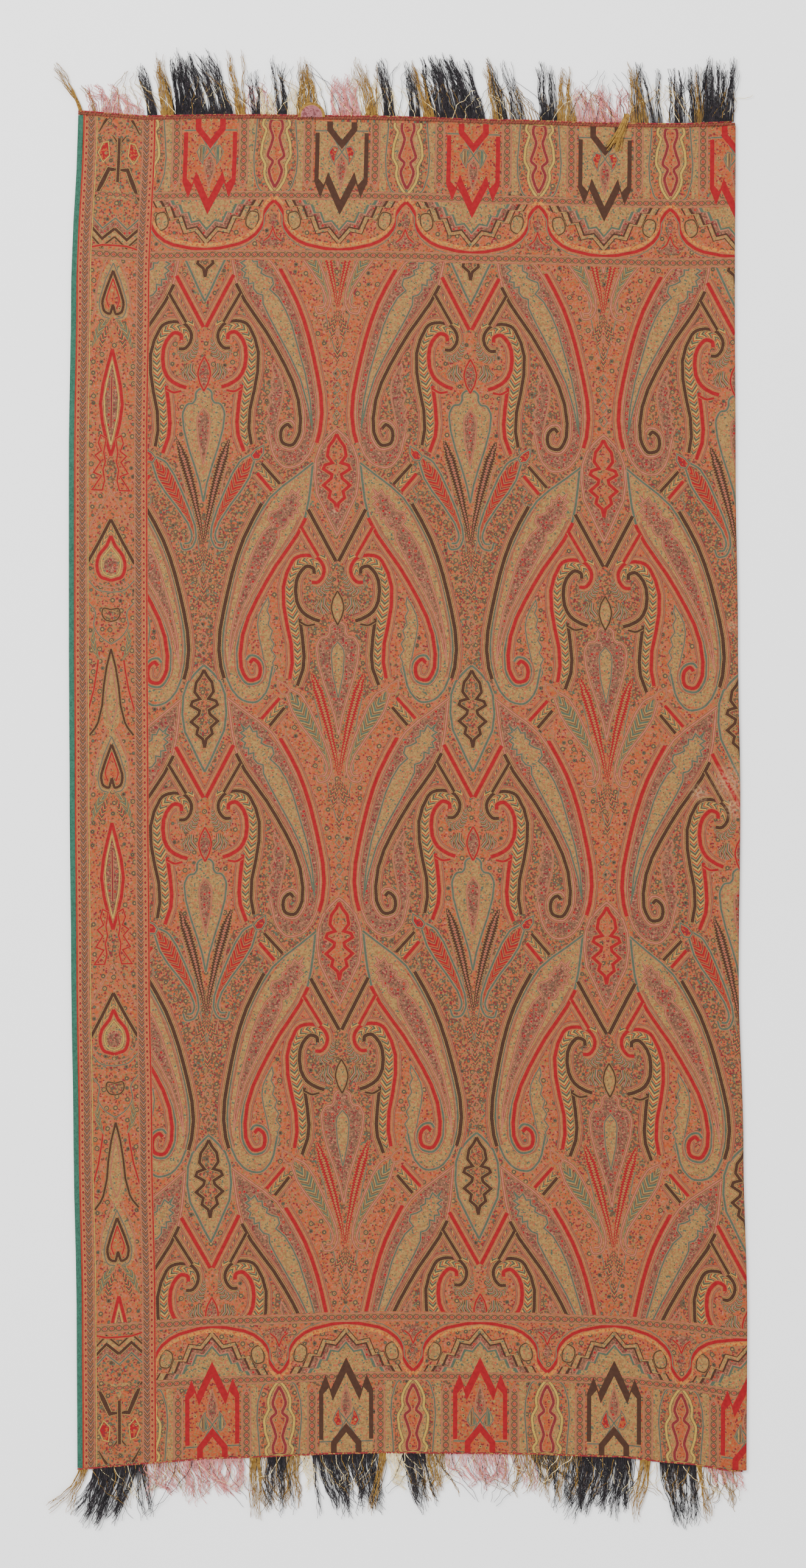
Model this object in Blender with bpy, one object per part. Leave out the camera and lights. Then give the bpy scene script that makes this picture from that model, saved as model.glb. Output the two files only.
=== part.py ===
"""A square woven paisley shawl, folded once down its middle and laid flat on a table.

+X runs across the folded shawl from its selvedges to its fold, +Y along the fold towards the
hemmed end, and +Z up from the table. The origin lies on the table under the middle of the cloth.
Sizes are in metres. The cloth is one C-shaped wall: the upper half, the turn of the fold at the
right, and the under half, which lies on the table.
"""

import math
import random

import bmesh
import bpy
import numpy as np

MM = 0.001

# The cloth
HALF_LENGTH = 862 * MM
WALL = 1.2 * MM
LAYER_GAP = 0.6 * MM
UPPER_BASE = WALL + LAYER_GAP
UPPER_TOP = UPPER_BASE + WALL
FOLD_HEIGHT = 5.0 * MM
FOLD_RISE_WIDTH = 22 * MM
SEAM = 0.3 * MM
UNDER_INSET = 2.5 * MM

# The edge pieces
SELVEDGE_WIDTH = 6.5 * MM
ROLL_WIDTH = 3.4 * MM
ROLL_UPPER_HEIGHT = 2.0 * MM
ROLL_UNDER_HEIGHT = 1.6 * MM
ROLL_LIFT = 0.3 * MM
ROLL_SIDES = 8
ROLL_TURN_STEPS = 5

# The fringe
HEADING_WIDTH = 2.0 * MM
HEADING_HEIGHT = 1.0 * MM
UPPER_HEADING_BASE = UPPER_BASE + 0.3 * MM
UNDER_HEADING_BASE = 0.2 * MM
UPPER_TIP_DROP = 0.2 * MM
LOCK_STATIONS = (0.34, 0.68, 1.0)
TIP_NARROWING = 0.45
TIP_THINNING = 0.35
LOCK_BOW = 1.2 * MM
SHORTEST_REACH = 0.9

# How finely the wall is cut
ROWS = 26
COLUMNS = 15
FOLD_STEPS = 6
FOLD_CROWDING = 1.35

# Side edges of the folded shawl, down its length: place along Y, left edge, right edge (mm).
SIDE_EDGES = (
    {"y": -862, "left": -419, "right": 438},
    {"y": -667, "left": -420, "right": 439},
    {"y": -448, "left": -424, "right": 434},
    {"y": -230, "left": -427, "right": 428},
    {"y": -12, "left": -429, "right": 430},
    {"y": 207, "left": -430, "right": 427},
    {"y": 425, "left": -430, "right": 424},
    {"y": 643, "left": -427, "right": 423},
    {"y": 862, "left": -418, "right": 424},
)

# End edges across its width: place along X, foot edge, top edge (mm).
END_EDGES = (
    {"x": -430, "foot": -870, "top": 865},
    {"x": -390, "foot": -870, "top": 868},
    {"x": -340, "foot": -863, "top": 860},
    {"x": -220, "foot": -855, "top": 862},
    {"x": -40, "foot": -849, "top": 860},
    {"x": 130, "foot": -850, "top": 855},
    {"x": 270, "foot": -854, "top": 851},
    {"x": 350, "foot": -862, "top": 850},
    {"x": 430, "foot": -873, "top": 853},
)

# Soft waves that the upper layer rises in: centre, reach along and across, height (mm), turn.
WAVES = (
    {"x": -60, "y": 10, "along": 420, "across": 16, "height": 1.3, "turn": 1},
    {"x": 330, "y": -8, "along": 90, "across": 20, "height": 1.2, "turn": -6},
    {"x": -300, "y": 560, "along": 210, "across": 60, "height": 1.5, "turn": 68},
    {"x": 150, "y": 640, "along": 260, "across": 55, "height": 1.3, "turn": 12},
    {"x": 240, "y": 250, "along": 230, "across": 70, "height": 1.6, "turn": 100},
    {"x": -140, "y": 300, "along": 220, "across": 65, "height": 1.2, "turn": 40},
    {"x": -230, "y": -330, "along": 260, "across": 60, "height": 1.5, "turn": 110},
    {"x": 130, "y": -380, "along": 240, "across": 70, "height": 1.4, "turn": 60},
    {"x": 300, "y": -640, "along": 180, "across": 55, "height": 1.5, "turn": 150},
    {"x": -120, "y": -690, "along": 240, "across": 50, "height": 1.2, "turn": 8},
)

# Fringe locks, in runs along an edge: where their roots and tips start and end along X, how far
# the tips lie from the edge, the number of locks and a lock's root width (mm).
TOP_UPPER_RUNS = (
    {"root": (-415, -415), "tip": (-452, -452), "reach": 66, "locks": 1, "width": 4.0},
    {"root": (-397, -397), "tip": (-412, -412), "reach": 40, "locks": 1, "width": 2.5},
    {"root": (-386, -338), "tip": (-398, -350), "reach": 30, "locks": 5, "width": 3.2},
    {"root": (-328, -318), "tip": (-344, -334), "reach": 74, "locks": 2, "width": 4.5},
    {"root": (-311, -297), "tip": (-317, -306), "reach": 78, "locks": 2, "width": 5.0},
    {"root": (-288, -222), "tip": (-296, -244), "reach": 82, "locks": 8, "width": 5.2},
    {"root": (-215, -206), "tip": (-230, -212), "reach": 80, "locks": 2, "width": 4.2},
    {"root": (-190, -184), "tip": (-200, -190), "reach": 66, "locks": 2, "width": 3.4},
    {"root": (-158, -148), "tip": (-160, -152), "reach": 80, "locks": 2, "width": 4.4},
    {"root": (-124, -112), "tip": (-126, -108), "reach": 72, "locks": 2, "width": 5.0},
    {"root": (-90, -58), "tip": (-92, -66), "reach": 56, "locks": 4, "width": 4.2},
    {"root": (-48, -36), "tip": (-58, -48), "reach": 78, "locks": 2, "width": 4.2},
    {"root": (-24, -12), "tip": (-36, -28), "reach": 76, "locks": 2, "width": 4.2},
    {"root": (8, 36), "tip": (2, 14), "reach": 78, "locks": 3, "width": 4.6},
    {"root": (46, 102), "tip": (30, 78), "reach": 82, "locks": 7, "width": 5.2},
    {"root": (114, 132), "tip": (96, 112), "reach": 84, "locks": 2, "width": 5.2},
    {"root": (142, 156), "tip": (128, 140), "reach": 84, "locks": 2, "width": 4.0},
    {"root": (178, 196), "tip": (172, 188), "reach": 80, "locks": 3, "width": 4.4},
    {"root": (206, 222), "tip": (200, 212), "reach": 80, "locks": 2, "width": 4.2},
    {"root": (236, 278), "tip": (228, 270), "reach": 56, "locks": 5, "width": 4.0},
    {"root": (292, 310), "tip": (284, 298), "reach": 80, "locks": 2, "width": 4.2},
    {"root": (326, 352), "tip": (320, 344), "reach": 80, "locks": 3, "width": 4.0},
    {"root": (370, 380), "tip": (368, 377), "reach": 82, "locks": 2, "width": 4.4},
    {"root": (389, 415), "tip": (388, 420), "reach": 84, "locks": 4, "width": 5.2},
)

TOP_UNDER_RUNS = (
    {"root": (-404, -362), "tip": (-414, -376), "reach": 40, "locks": 4, "width": 3.4},
    {"root": (-300, -262), "tip": (-306, -276), "reach": 74, "locks": 4, "width": 4.8},
    {"root": (-204, -160), "tip": (-212, -176), "reach": 46, "locks": 4, "width": 3.4},
    {"root": (-138, -104), "tip": (-144, -112), "reach": 60, "locks": 3, "width": 4.0},
    {"root": (-66, -6), "tip": (-76, -22), "reach": 52, "locks": 4, "width": 3.4},
    {"root": (30, 92), "tip": (16, 66), "reach": 76, "locks": 5, "width": 4.8},
    {"root": (120, 186), "tip": (104, 174), "reach": 48, "locks": 5, "width": 3.4},
    {"root": (230, 300), "tip": (224, 288), "reach": 48, "locks": 5, "width": 3.6},
    {"root": (340, 412), "tip": (336, 412), "reach": 74, "locks": 6, "width": 4.4},
)

FOOT_UPPER_RUNS = (
    {"root": (-414, -403), "tip": (-444, -432), "reach": 62, "locks": 2, "width": 4.2},
    {"root": (-392, -342), "tip": (-414, -362), "reach": 78, "locks": 7, "width": 5.2},
    {"root": (-334, -327), "tip": (-340, -330), "reach": 74, "locks": 2, "width": 4.4},
    {"root": (-312, -288), "tip": (-306, -286), "reach": 50, "locks": 3, "width": 3.4},
    {"root": (-276, -210), "tip": (-264, -202), "reach": 54, "locks": 7, "width": 4.2},
    {"root": (-196, -184), "tip": (-188, -178), "reach": 78, "locks": 2, "width": 4.2},
    {"root": (-172, -150), "tip": (-166, -142), "reach": 80, "locks": 3, "width": 4.6},
    {"root": (-138, -124), "tip": (-128, -114), "reach": 46, "locks": 2, "width": 3.2},
    {"root": (-114, -60), "tip": (-98, -62), "reach": 80, "locks": 6, "width": 5.2},
    {"root": (-50, -30), "tip": (-48, -22), "reach": 78, "locks": 3, "width": 4.6},
    {"root": (-14, 26), "tip": (2, 34), "reach": 82, "locks": 5, "width": 4.8},
    {"root": (40, 52), "tip": (48, 58), "reach": 58, "locks": 2, "width": 3.8},
    {"root": (66, 130), "tip": (76, 134), "reach": 54, "locks": 6, "width": 4.0},
    {"root": (146, 192), "tip": (150, 196), "reach": 46, "locks": 4, "width": 4.4},
    {"root": (204, 288), "tip": (206, 282), "reach": 84, "locks": 9, "width": 5.4},
    {"root": (300, 312), "tip": (294, 304), "reach": 80, "locks": 2, "width": 4.2},
    {"root": (326, 376), "tip": (328, 378), "reach": 78, "locks": 5, "width": 4.4},
    {"root": (392, 412), "tip": (398, 416), "reach": 66, "locks": 2, "width": 4.2},
)

FOOT_UNDER_RUNS = (
    {"root": (-398, -356), "tip": (-420, -380), "reach": 66, "locks": 4, "width": 4.6},
    {"root": (-322, -250), "tip": (-316, -240), "reach": 46, "locks": 5, "width": 3.6},
    {"root": (-190, -140), "tip": (-182, -130), "reach": 70, "locks": 4, "width": 4.0},
    {"root": (-100, -40), "tip": (-84, -36), "reach": 66, "locks": 4, "width": 4.6},
    {"root": (0, 50), "tip": (14, 56), "reach": 68, "locks": 4, "width": 4.2},
    {"root": (90, 170), "tip": (98, 176), "reach": 48, "locks": 5, "width": 3.6},
    {"root": (216, 296), "tip": (216, 292), "reach": 70, "locks": 5, "width": 4.8},
    {"root": (330, 424), "tip": (330, 428), "reach": 50, "locks": 6, "width": 3.8},
)

# A piece's colour and roughness.
FINISHES = {
    "cloth": ((0.36, 0.13, 0.055), 0.85),
    "selvedge": ((0.09, 0.21, 0.15), 0.80),
    "hem": ((0.24, 0.07, 0.035), 0.85),
    "fringe": ((0.025, 0.022, 0.024), 0.70),
    "under_fringe": ((0.36, 0.21, 0.08), 0.75),
}


def ease(share):
    """A share from 0 to 1, with a level start and end."""
    return share * share * (3 - 2 * share)


def read_table(rows, place, value, at):
    """The value at a place (in metres) between a table's rows, joined smoothly."""
    places = [row[place] * MM for row in rows]
    at = min(max(at, places[0]), places[-1])
    low = max(i for i in range(len(rows) - 1) if places[i] <= at)
    share = ease((at - places[low]) / (places[low + 1] - places[low]))
    return (rows[low][value] * (1 - share) + rows[low + 1][value] * share) * MM


def side_edges(along):
    """The left edge and the fold at a share of the length, from 0 at the foot to 1 at the top."""
    y = (2 * along - 1) * HALF_LENGTH
    return read_table(SIDE_EDGES, "y", "left", y), read_table(SIDE_EDGES, "y", "right", y)


def column_places(along, start_inset):
    """Where the wall's columns lie along X, closer together towards the turn of the fold."""
    left, fold = side_edges(along)
    start = left + start_inset
    turn = fold - FOLD_HEIGHT / 2
    shares = [1 - (1 - c / (COLUMNS - 1)) ** FOLD_CROWDING for c in range(COLUMNS)]
    return [start + (turn - start) * share for share in shares]


def end_line(along, end):
    """An end edge as the places along X and Y of the wall's own columns, straight between."""
    places = column_places(along, SELVEDGE_WIDTH + SEAM)
    return places, [read_table(END_EDGES, "x", end, x) for x in places]


FOOT_LINE = end_line(0.0, "foot")
TOP_LINE = end_line(1.0, "top")


def line_at(x, line):
    """The Y of an end line at x, level past its ends."""
    return float(np.interp(x, *line))


def panel_y(x, along):
    """The Y of the panel at a share of its length, between its foot and its rolled hem."""
    foot = line_at(x, FOOT_LINE)
    top = line_at(x, TOP_LINE) - ROLL_WIDTH - SEAM
    return foot + (top - foot) * along


def upper_face(x, y, turn):
    """The height of the upper layer's face, which swells a little towards the turn at the fold."""
    swell = ease(max(0.0, 1 - (turn - x) / FOLD_RISE_WIDTH))
    waves = 0.0
    for wave in WAVES:
        angle = math.radians(wave["turn"])
        dx, dy = x / MM - wave["x"], y / MM - wave["y"]
        along = (dx * math.cos(angle) + dy * math.sin(angle)) / wave["along"]
        across = (dy * math.cos(angle) - dx * math.sin(angle)) / wave["across"]
        waves += wave["height"] * MM * math.exp(-along * along - across * across)
    return UPPER_TOP + waves * (1 - swell) + (FOLD_HEIGHT - UPPER_TOP) * swell


def finish_object(name, builder, finish, round_form=True):
    """One named object from a filled bmesh, with its own material."""
    colour, roughness = FINISHES[finish]
    material = bpy.data.materials.new(name)
    material.use_nodes = True
    shader = material.node_tree.nodes["Principled BSDF"]
    shader.inputs["Base Color"].default_value = (*colour, 1.0)
    shader.inputs["Roughness"].default_value = roughness
    shader.inputs["Metallic"].default_value = 0.0
    bmesh.ops.recalc_face_normals(builder, faces=builder.faces)
    mesh = bpy.data.meshes.new(name)
    builder.to_mesh(mesh)
    builder.free()
    mesh.materials.append(material)
    if round_form:
        mesh.shade_smooth()
        mesh.set_sharp_from_angle(angle=math.radians(40))
    made = bpy.data.objects.new(name, mesh)
    bpy.context.scene.collection.objects.link(made)


def bridge(builder, low, high, left_open=()):
    """Faces between two rings of points, apart from the sides left open."""
    for side in range(len(low)):
        after = (side + 1) % len(low)
        if side not in left_open:
            builder.faces.new((low[side], low[after], high[after], high[side]))


def add_wall(builder, rings):
    """A closed wall through rings that each run out along its face and home along its back."""
    points = [[builder.verts.new(point) for point in ring] for ring in rings]
    for low, high in zip(points, points[1:]):
        bridge(builder, low, high)
    width = len(points[0]) // 2
    for ring in (points[0], points[-1]):
        for c in range(width - 1):
            builder.faces.new((ring[c], ring[c + 1], ring[-2 - c], ring[-1 - c]))


def cloth_ring(along):
    """One C-shaped section across the folded cloth."""
    _, fold = side_edges(along)
    radius = FOLD_HEIGHT / 2
    turn = fold - radius
    face, back = [], []
    for x in column_places(along, SELVEDGE_WIDTH + SEAM):
        y = panel_y(x, along)
        z = upper_face(x, y, turn)
        face.append((x, y, z))
        back.append((x, y, z - WALL))
    y = panel_y(turn, along)
    for step in range(1, FOLD_STEPS):
        angle = math.pi * step / FOLD_STEPS
        for points, r in ((face, radius), (back, radius - WALL)):
            points.append((turn + r * math.sin(angle), y, radius + r * math.cos(angle)))
    for x in reversed(column_places(along, SELVEDGE_WIDTH + SEAM + UNDER_INSET)):
        face.append((x, panel_y(x, along), 0.0))
        back.append((x, panel_y(x, along), WALL))
    return face + back[::-1]


def make_cloth():
    """The woven panel: upper half, fold and under half as one wall."""
    builder = bmesh.new()
    add_wall(builder, [cloth_ring(row / (ROWS - 1)) for row in range(ROWS)])
    finish_object("shawl_cloth", builder, "cloth")


def make_selvedge(name, upper):
    """The plain green selvedge down the open side of one layer."""
    rings = []
    for row in range(ROWS):
        along = row / (ROWS - 1)
        left, _ = side_edges(along)
        start = left if upper else left + UNDER_INSET
        face, back = [], []
        for x in (start, start + SELVEDGE_WIDTH):
            y = panel_y(x, along)
            z = upper_face(x, y, math.inf) if upper else WALL
            face.append((x, y, z))
            back.append((x, y, z - WALL))
        rings.append(face + back[::-1])
    builder = bmesh.new()
    add_wall(builder, rings)
    finish_object(name, builder, "selvedge")


def hem_path():
    """The rolled hem's middle line as x, z, turn from upright and thickness."""
    upper_middle = UPPER_BASE + ROLL_LIFT + ROLL_UPPER_HEIGHT / 2
    under_middle = ROLL_UNDER_HEIGHT / 2
    radius = (upper_middle - under_middle) / 2
    left, _ = side_edges(1.0)
    places = [left] + TOP_LINE[0]
    turn = places[-1]
    path = [(x, upper_middle, 0.0, ROLL_UPPER_HEIGHT) for x in places]
    for step in range(1, ROLL_TURN_STEPS):
        share = step / ROLL_TURN_STEPS
        angle = math.pi * share
        thickness = ROLL_UPPER_HEIGHT + (ROLL_UNDER_HEIGHT - ROLL_UPPER_HEIGHT) * share
        middle = under_middle + radius
        path.append((turn + radius * math.sin(angle), middle + radius * math.cos(angle), angle, thickness))
    places[0] += UNDER_INSET
    path += [(x, under_middle, math.pi, ROLL_UNDER_HEIGHT) for x in reversed(places)]
    return path


def make_hem_roll():
    """The narrow rolled hem of the top end, which follows both layers round the fold."""
    builder = bmesh.new()
    to_corner = 1 / math.cos(math.pi / ROLL_SIDES)
    rings = []
    for x, z, turn, thickness in hem_path():
        y = line_at(x, TOP_LINE) - ROLL_WIDTH / 2
        ring = []
        for side in range(ROLL_SIDES):
            angle = 2 * math.pi * (side + 0.5) / ROLL_SIDES
            out = math.cos(angle) * to_corner * ROLL_WIDTH / 2
            lift = math.sin(angle) * to_corner * thickness / 2
            point = (x + lift * math.sin(turn), y + out, z + lift * math.cos(turn))
            ring.append(builder.verts.new(point))
        rings.append(ring)
    for low, high in zip(rings, rings[1:]):
        bridge(builder, low, high)
    builder.faces.new(rings[0])
    builder.faces.new(rings[-1])
    finish_object("hem_roll", builder, "hem")


def spread_locks(runs, chance):
    """Each lock of the runs with its own root, tip, reach, width and bow, in metres."""
    locks = []
    for run in runs:
        for i in range(run["locks"]):
            share = i / max(1, run["locks"] - 1)
            locks.append(
                {
                    "root": (run["root"][0] * (1 - share) + run["root"][1] * share) * MM,
                    "tip": (run["tip"][0] * (1 - share) + run["tip"][1] * share) * MM,
                    "reach": run["reach"] * MM * chance.uniform(SHORTEST_REACH, 1.0),
                    "width": run["width"] * MM,
                    "bow": chance.uniform(-LOCK_BOW, LOCK_BOW),
                }
            )
    return locks


def add_lock(builder, ring, lock, root_y, away, base, drop):
    """One four-sided lock of yarn, grown out of four corners of its heading."""
    for share in LOCK_STATIONS:
        x = lock["root"] + (lock["tip"] - lock["root"]) * share
        x += lock["bow"] * math.sin(math.pi * share)
        y = root_y + away * (lock["reach"] - HEADING_WIDTH) * share
        low = base - drop * share
        high = low + HEADING_HEIGHT * (1 - TIP_THINNING * share)
        half = lock["width"] / 2 * (1 - TIP_NARROWING * share)
        corners = ((x - half, low), (x + half, low), (x + half, high), (x - half, high))
        following = [builder.verts.new((corner, y, z)) for corner, z in corners]
        bridge(builder, ring, following)
        ring = following
    builder.faces.new(ring)


def make_fringe(name, runs, top, upper, seed):
    """A heading parted from the cloth's end, with its locks grown out of its outer side."""
    chance = random.Random(seed)
    line = TOP_LINE if top else FOOT_LINE
    away = 1 if top else -1
    base = UPPER_HEADING_BASE if upper else UNDER_HEADING_BASE
    drop = UPPER_TIP_DROP if upper else 0.0
    left, fold = side_edges(1.0 if top else 0.0)
    locks = spread_locks(runs, chance)
    # A station starts a lock's root, or a plain stretch of heading where it holds no lock.
    stations = [(left if upper else left + UNDER_INSET, None)]
    for lock in locks:
        stations.append((lock["root"] - lock["width"] / 2, lock))
        stations.append((lock["root"] + lock["width"] / 2, None))
    for x in line[0][1:-1]:
        if not any(abs(x - lock["root"]) < lock["width"] for lock in locks):
            stations.append((x, None))
    stations.sort(key=lambda station: station[0])
    stations.append((fold - FOLD_HEIGHT, None))
    builder = bmesh.new()
    rings = []
    for x, _ in stations:
        near = line_at(x, line) + away * SEAM
        far = near + away * HEADING_WIDTH
        corners = ((near, base), (far, base), (far, base + HEADING_HEIGHT), (near, base + HEADING_HEIGHT))
        rings.append([builder.verts.new((x, y, z)) for y, z in corners])
    builder.faces.new(rings[0])
    builder.faces.new(rings[-1])
    for (_, lock), low, high in zip(stations, rings, rings[1:]):
        bridge(builder, low, high, left_open=(1,) if lock else ())
        if lock:
            root_y = line_at(lock["root"], line) + away * (SEAM + HEADING_WIDTH)
            add_lock(builder, [low[1], high[1], high[2], low[2]], lock, root_y, away, base, drop)
    finish_object(name, builder, "fringe" if upper else "under_fringe", round_form=False)


def main():
    for old in list(bpy.data.objects):
        bpy.data.objects.remove(old)
    make_cloth()
    make_selvedge("selvedge_upper", upper=True)
    make_selvedge("selvedge_under", upper=False)
    make_hem_roll()
    make_fringe("fringe_top_upper", TOP_UPPER_RUNS, top=True, upper=True, seed=11)
    make_fringe("fringe_top_under", TOP_UNDER_RUNS, top=True, upper=False, seed=12)
    make_fringe("fringe_foot_upper", FOOT_UPPER_RUNS, top=False, upper=True, seed=13)
    make_fringe("fringe_foot_under", FOOT_UNDER_RUNS, top=False, upper=False, seed=14)


main()
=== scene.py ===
# %% [markdown]
# # A paisley shawl, folded in half and laid flat
# A jacquard loom wove this square shawl from dyed wool yarns. Every figure on it is made by the
# coloured yarns that lie on top, so its colour is crisp at the edges but its face stays flat.
# The scene first draws the figures as flat shapes, in millimetres, then turns the drawing into
# one mesh, bends that mesh over the folded form, and dresses it with wool materials.

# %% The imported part
import math
import random

import bmesh
import bpy
import numpy as np
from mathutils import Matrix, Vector, geometry


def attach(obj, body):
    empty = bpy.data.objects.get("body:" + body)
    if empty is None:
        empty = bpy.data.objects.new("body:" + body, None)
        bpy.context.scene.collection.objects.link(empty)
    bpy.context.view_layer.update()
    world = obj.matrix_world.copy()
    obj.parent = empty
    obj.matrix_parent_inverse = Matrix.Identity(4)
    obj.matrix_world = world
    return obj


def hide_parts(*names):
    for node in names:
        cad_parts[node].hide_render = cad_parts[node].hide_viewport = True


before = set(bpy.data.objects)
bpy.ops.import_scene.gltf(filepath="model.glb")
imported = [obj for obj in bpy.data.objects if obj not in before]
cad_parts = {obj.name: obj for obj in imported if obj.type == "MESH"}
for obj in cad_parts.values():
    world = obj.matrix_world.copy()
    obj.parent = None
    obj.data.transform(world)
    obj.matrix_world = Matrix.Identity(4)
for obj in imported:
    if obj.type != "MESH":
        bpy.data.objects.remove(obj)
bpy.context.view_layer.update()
print("nodes:", sorted(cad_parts))

# %% [markdown]
# ## The woven sheet
# The sheet is described by two lengths: how far a point lies from the green selvedge, and how
# far down it lies from the rolled hem. The fold is a mirror line of the pattern, so only half
# of the sheet has to be drawn. The sizes come from the photograph at 0.78 mm a pixel.

# %% Sizes of the sheet, in millimetres
MM = 0.001
SELVEDGE = 6.5
CLOTH_START = 6.8
FOLD_LINE = 853.5
SHEET_LENGTH = 1718.0
FIELD_LEFT = 100.0
FIELD_TOP = 181.4
FIELD_FOOT = SHEET_LENGTH - FIELD_TOP
REPEAT = 603.7
HALF_WIDTH = 170.4

# %% [markdown]
# ## Curves
# A weaver's draft holds a figure as smooth strokes. Here a stroke is a list of given points,
# each with the stroke's half width there. A curve is run through them, and it gets
# more stations where it bends more, so that gentle strokes cost few faces.

# %% A smooth stroke through a few points
BEND = math.radians(13)
LONGEST_STEP = 24.0
SHARPEST_MITRE = 0.45
TINY = 1e-9


def stations(points, closed=False):
    """Stations on a smooth curve through the points, closer together where it bends."""
    knots = np.array(points, dtype=float)
    if closed:
        knots = np.vstack([knots[-1:], knots, knots[:2]])
    else:
        knots = np.vstack([2 * knots[0] - knots[1], knots, 2 * knots[-1] - knots[-2]])
    spans = np.maximum(np.linalg.norm(np.diff(knots[:, :2], axis=0), axis=1), 1e-6)
    slopes = np.diff(knots, axis=0) / spans[:, None]
    weights = spans[:-1] / (spans[:-1] + spans[1:])
    tangents = slopes[:-1] * (1 - weights)[:, None] + slopes[1:] * weights[:, None]
    dense = []
    for i in range(1, len(knots) - 2):
        share = np.arange(0, 1, min(0.25, 1.0 / spans[i]))[:, None]
        a, b = knots[i], knots[i + 1]
        m0, m1 = tangents[i - 1] * spans[i], tangents[i] * spans[i]
        dense.append(
            a * (2 * share**3 - 3 * share**2 + 1)
            + m0 * (share**3 - 2 * share**2 + share)
            + b * (3 * share**2 - 2 * share**3)
            + m1 * (share**3 - share**2)
        )
    dense.append(knots[-2][None, :])
    dense = np.vstack(dense)
    headings = np.unwrap(np.arctan2(*np.diff(dense[:, :2], axis=0).T[::-1]))
    steps = np.linalg.norm(np.diff(dense[:, :2], axis=0), axis=1)
    kept, turned, walked = [0], 0.0, 0.0
    for i in range(1, len(dense) - 1):
        turned += abs(headings[i] - headings[i - 1])
        walked += steps[i - 1]
        if turned > BEND or walked > LONGEST_STEP:
            kept.append(i)
            turned = walked = 0.0
    kept.append(len(dense) - 1)
    return dense[kept]


def stroke(style, points, width=None, smooth=True, closed=False):
    """A stroke as cells, one for each stretch between two stations."""
    if width is not None:
        points = [(u, d, width / 2) for u, d in points]
    if smooth:
        line = stations(points, closed)
    else:
        line = np.array(points + points[:1] if closed else points, dtype=float)
    ways = np.diff(line[:, :2], axis=0)
    ways /= np.maximum(np.linalg.norm(ways, axis=1), TINY)[:, None]
    first, last = (ways[-1], ways[0]) if closed else (ways[0], ways[-1])
    bisectors = np.vstack([first, ways]) + np.vstack([ways, last])
    bisectors /= np.maximum(np.linalg.norm(bisectors, axis=1), TINY)[:, None]
    mitres = 1 / np.maximum((bisectors * np.vstack([ways, last])).sum(axis=1), SHARPEST_MITRE)
    sides = np.column_stack([-bisectors[:, 1], bisectors[:, 0]]) * (line[:, 2] * mitres)[:, None]
    runs = np.concatenate([[0], np.cumsum(np.linalg.norm(np.diff(line[:, :2], axis=0), axis=1))])
    cells = []
    for i in range(len(line) - 1):
        here, there = line[i, :2], line[i + 1, :2]
        outline = [here + sides[i], here - sides[i], there - sides[i + 1], there + sides[i + 1]]
        cells.append(
            {
                "style": style,
                "outline": np.array(outline),
                "guide": np.array([here, there]),
                "widths": (line[i, 2], line[i + 1, 2]),
                "run": runs[i],
            }
        )
    return cells


def patch(style, points, smooth=True):
    """A filled patch as one cell."""
    outline = stations([(u, d, 0) for u, d in points], True)[:-1, :2] if smooth else np.array(points)
    return [{"style": style, "outline": outline, "guide": None, "widths": (1, 1), "run": 0.0}]


# %% [markdown]
# ## The field's figures
# The field repeats every 604 mm. It has two mirror lines 170 mm apart. What stands on one line
# stands on the other too, dropped by half a repeat and with its colours exchanged: red for
# brown, rose for teal, gold for dusk. So each figure is drawn once, between the two lines.
# The points of the main figures were read, one after another, off an enlarged
# photograph, so they follow it closely. Columns: how far a point lies from the first mirror
# line, how far below the field's top edge.

# %% Figures between the two mirror lines
BOTEH_BAND = [
    (30, -41, 1), (38, -27, 8), (48, -9, 16), (60, 15, 22), (76, 42, 24.5), (93, 70, 22.5),
    (107, 97, 19), (118, 122, 15.5), (128, 150, 12), (135, 178, 10), (138, 205, 9), (136.5, 228, 9.5),
    (127, 247, 9.5), (112, 254, 8.5), (98, 249, 7), (90, 236, 6), (88, 220, 5),
]
BOTEH_LEFT = [
    (30.4, -41), (33, -15), (35.5, 5), (40, 27), (52.6, 49.3), (66.9, 70), (81.2, 92.2),
    (95.6, 116), (110, 141.5), (121, 168.5), (127.4, 190.8), (128.2, 213), (125, 230.6),
    (114.6, 243), (101.9, 241), (95.2, 227.4), (97.1, 214), (103.5, 207.5), (112.3, 206.7), (116.5, 212),
]
BOTEH_INNER = [
    (39.9, 30.2), (47.5, 46), (66, 74), (82, 97), (96, 122), (112, 153), (121.5, 183), (124, 207),
    (121.5, 226), (112.6, 238), (102, 235.5), (98.6, 225), (101.5, 215.5), (108, 211.5), (112, 216),
]
BOTEH_RIGHT = [
    (30, -41), (46.3, -28), (68.5, -11.5), (81.2, -0.8), (92, 13), (104, 34), (116, 58), (126, 84),
    (133.5, 112), (139.5, 140), (144.5, 168), (146.8, 192), (146, 214), (141, 236), (133.5, 252),
    (120.5, 264), (104, 266), (93, 256), (86, 238), (83, 220),
]
RIGHT_OUTLINE = [
    (96, 11), (106.7, 30.2), (117.8, 52.5), (129, 82.7), (136.9, 111.3), (143.3, 139.9),
    (148.8, 167), (151.2, 190.8), (150, 214.7), (144.8, 235),
]
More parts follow.
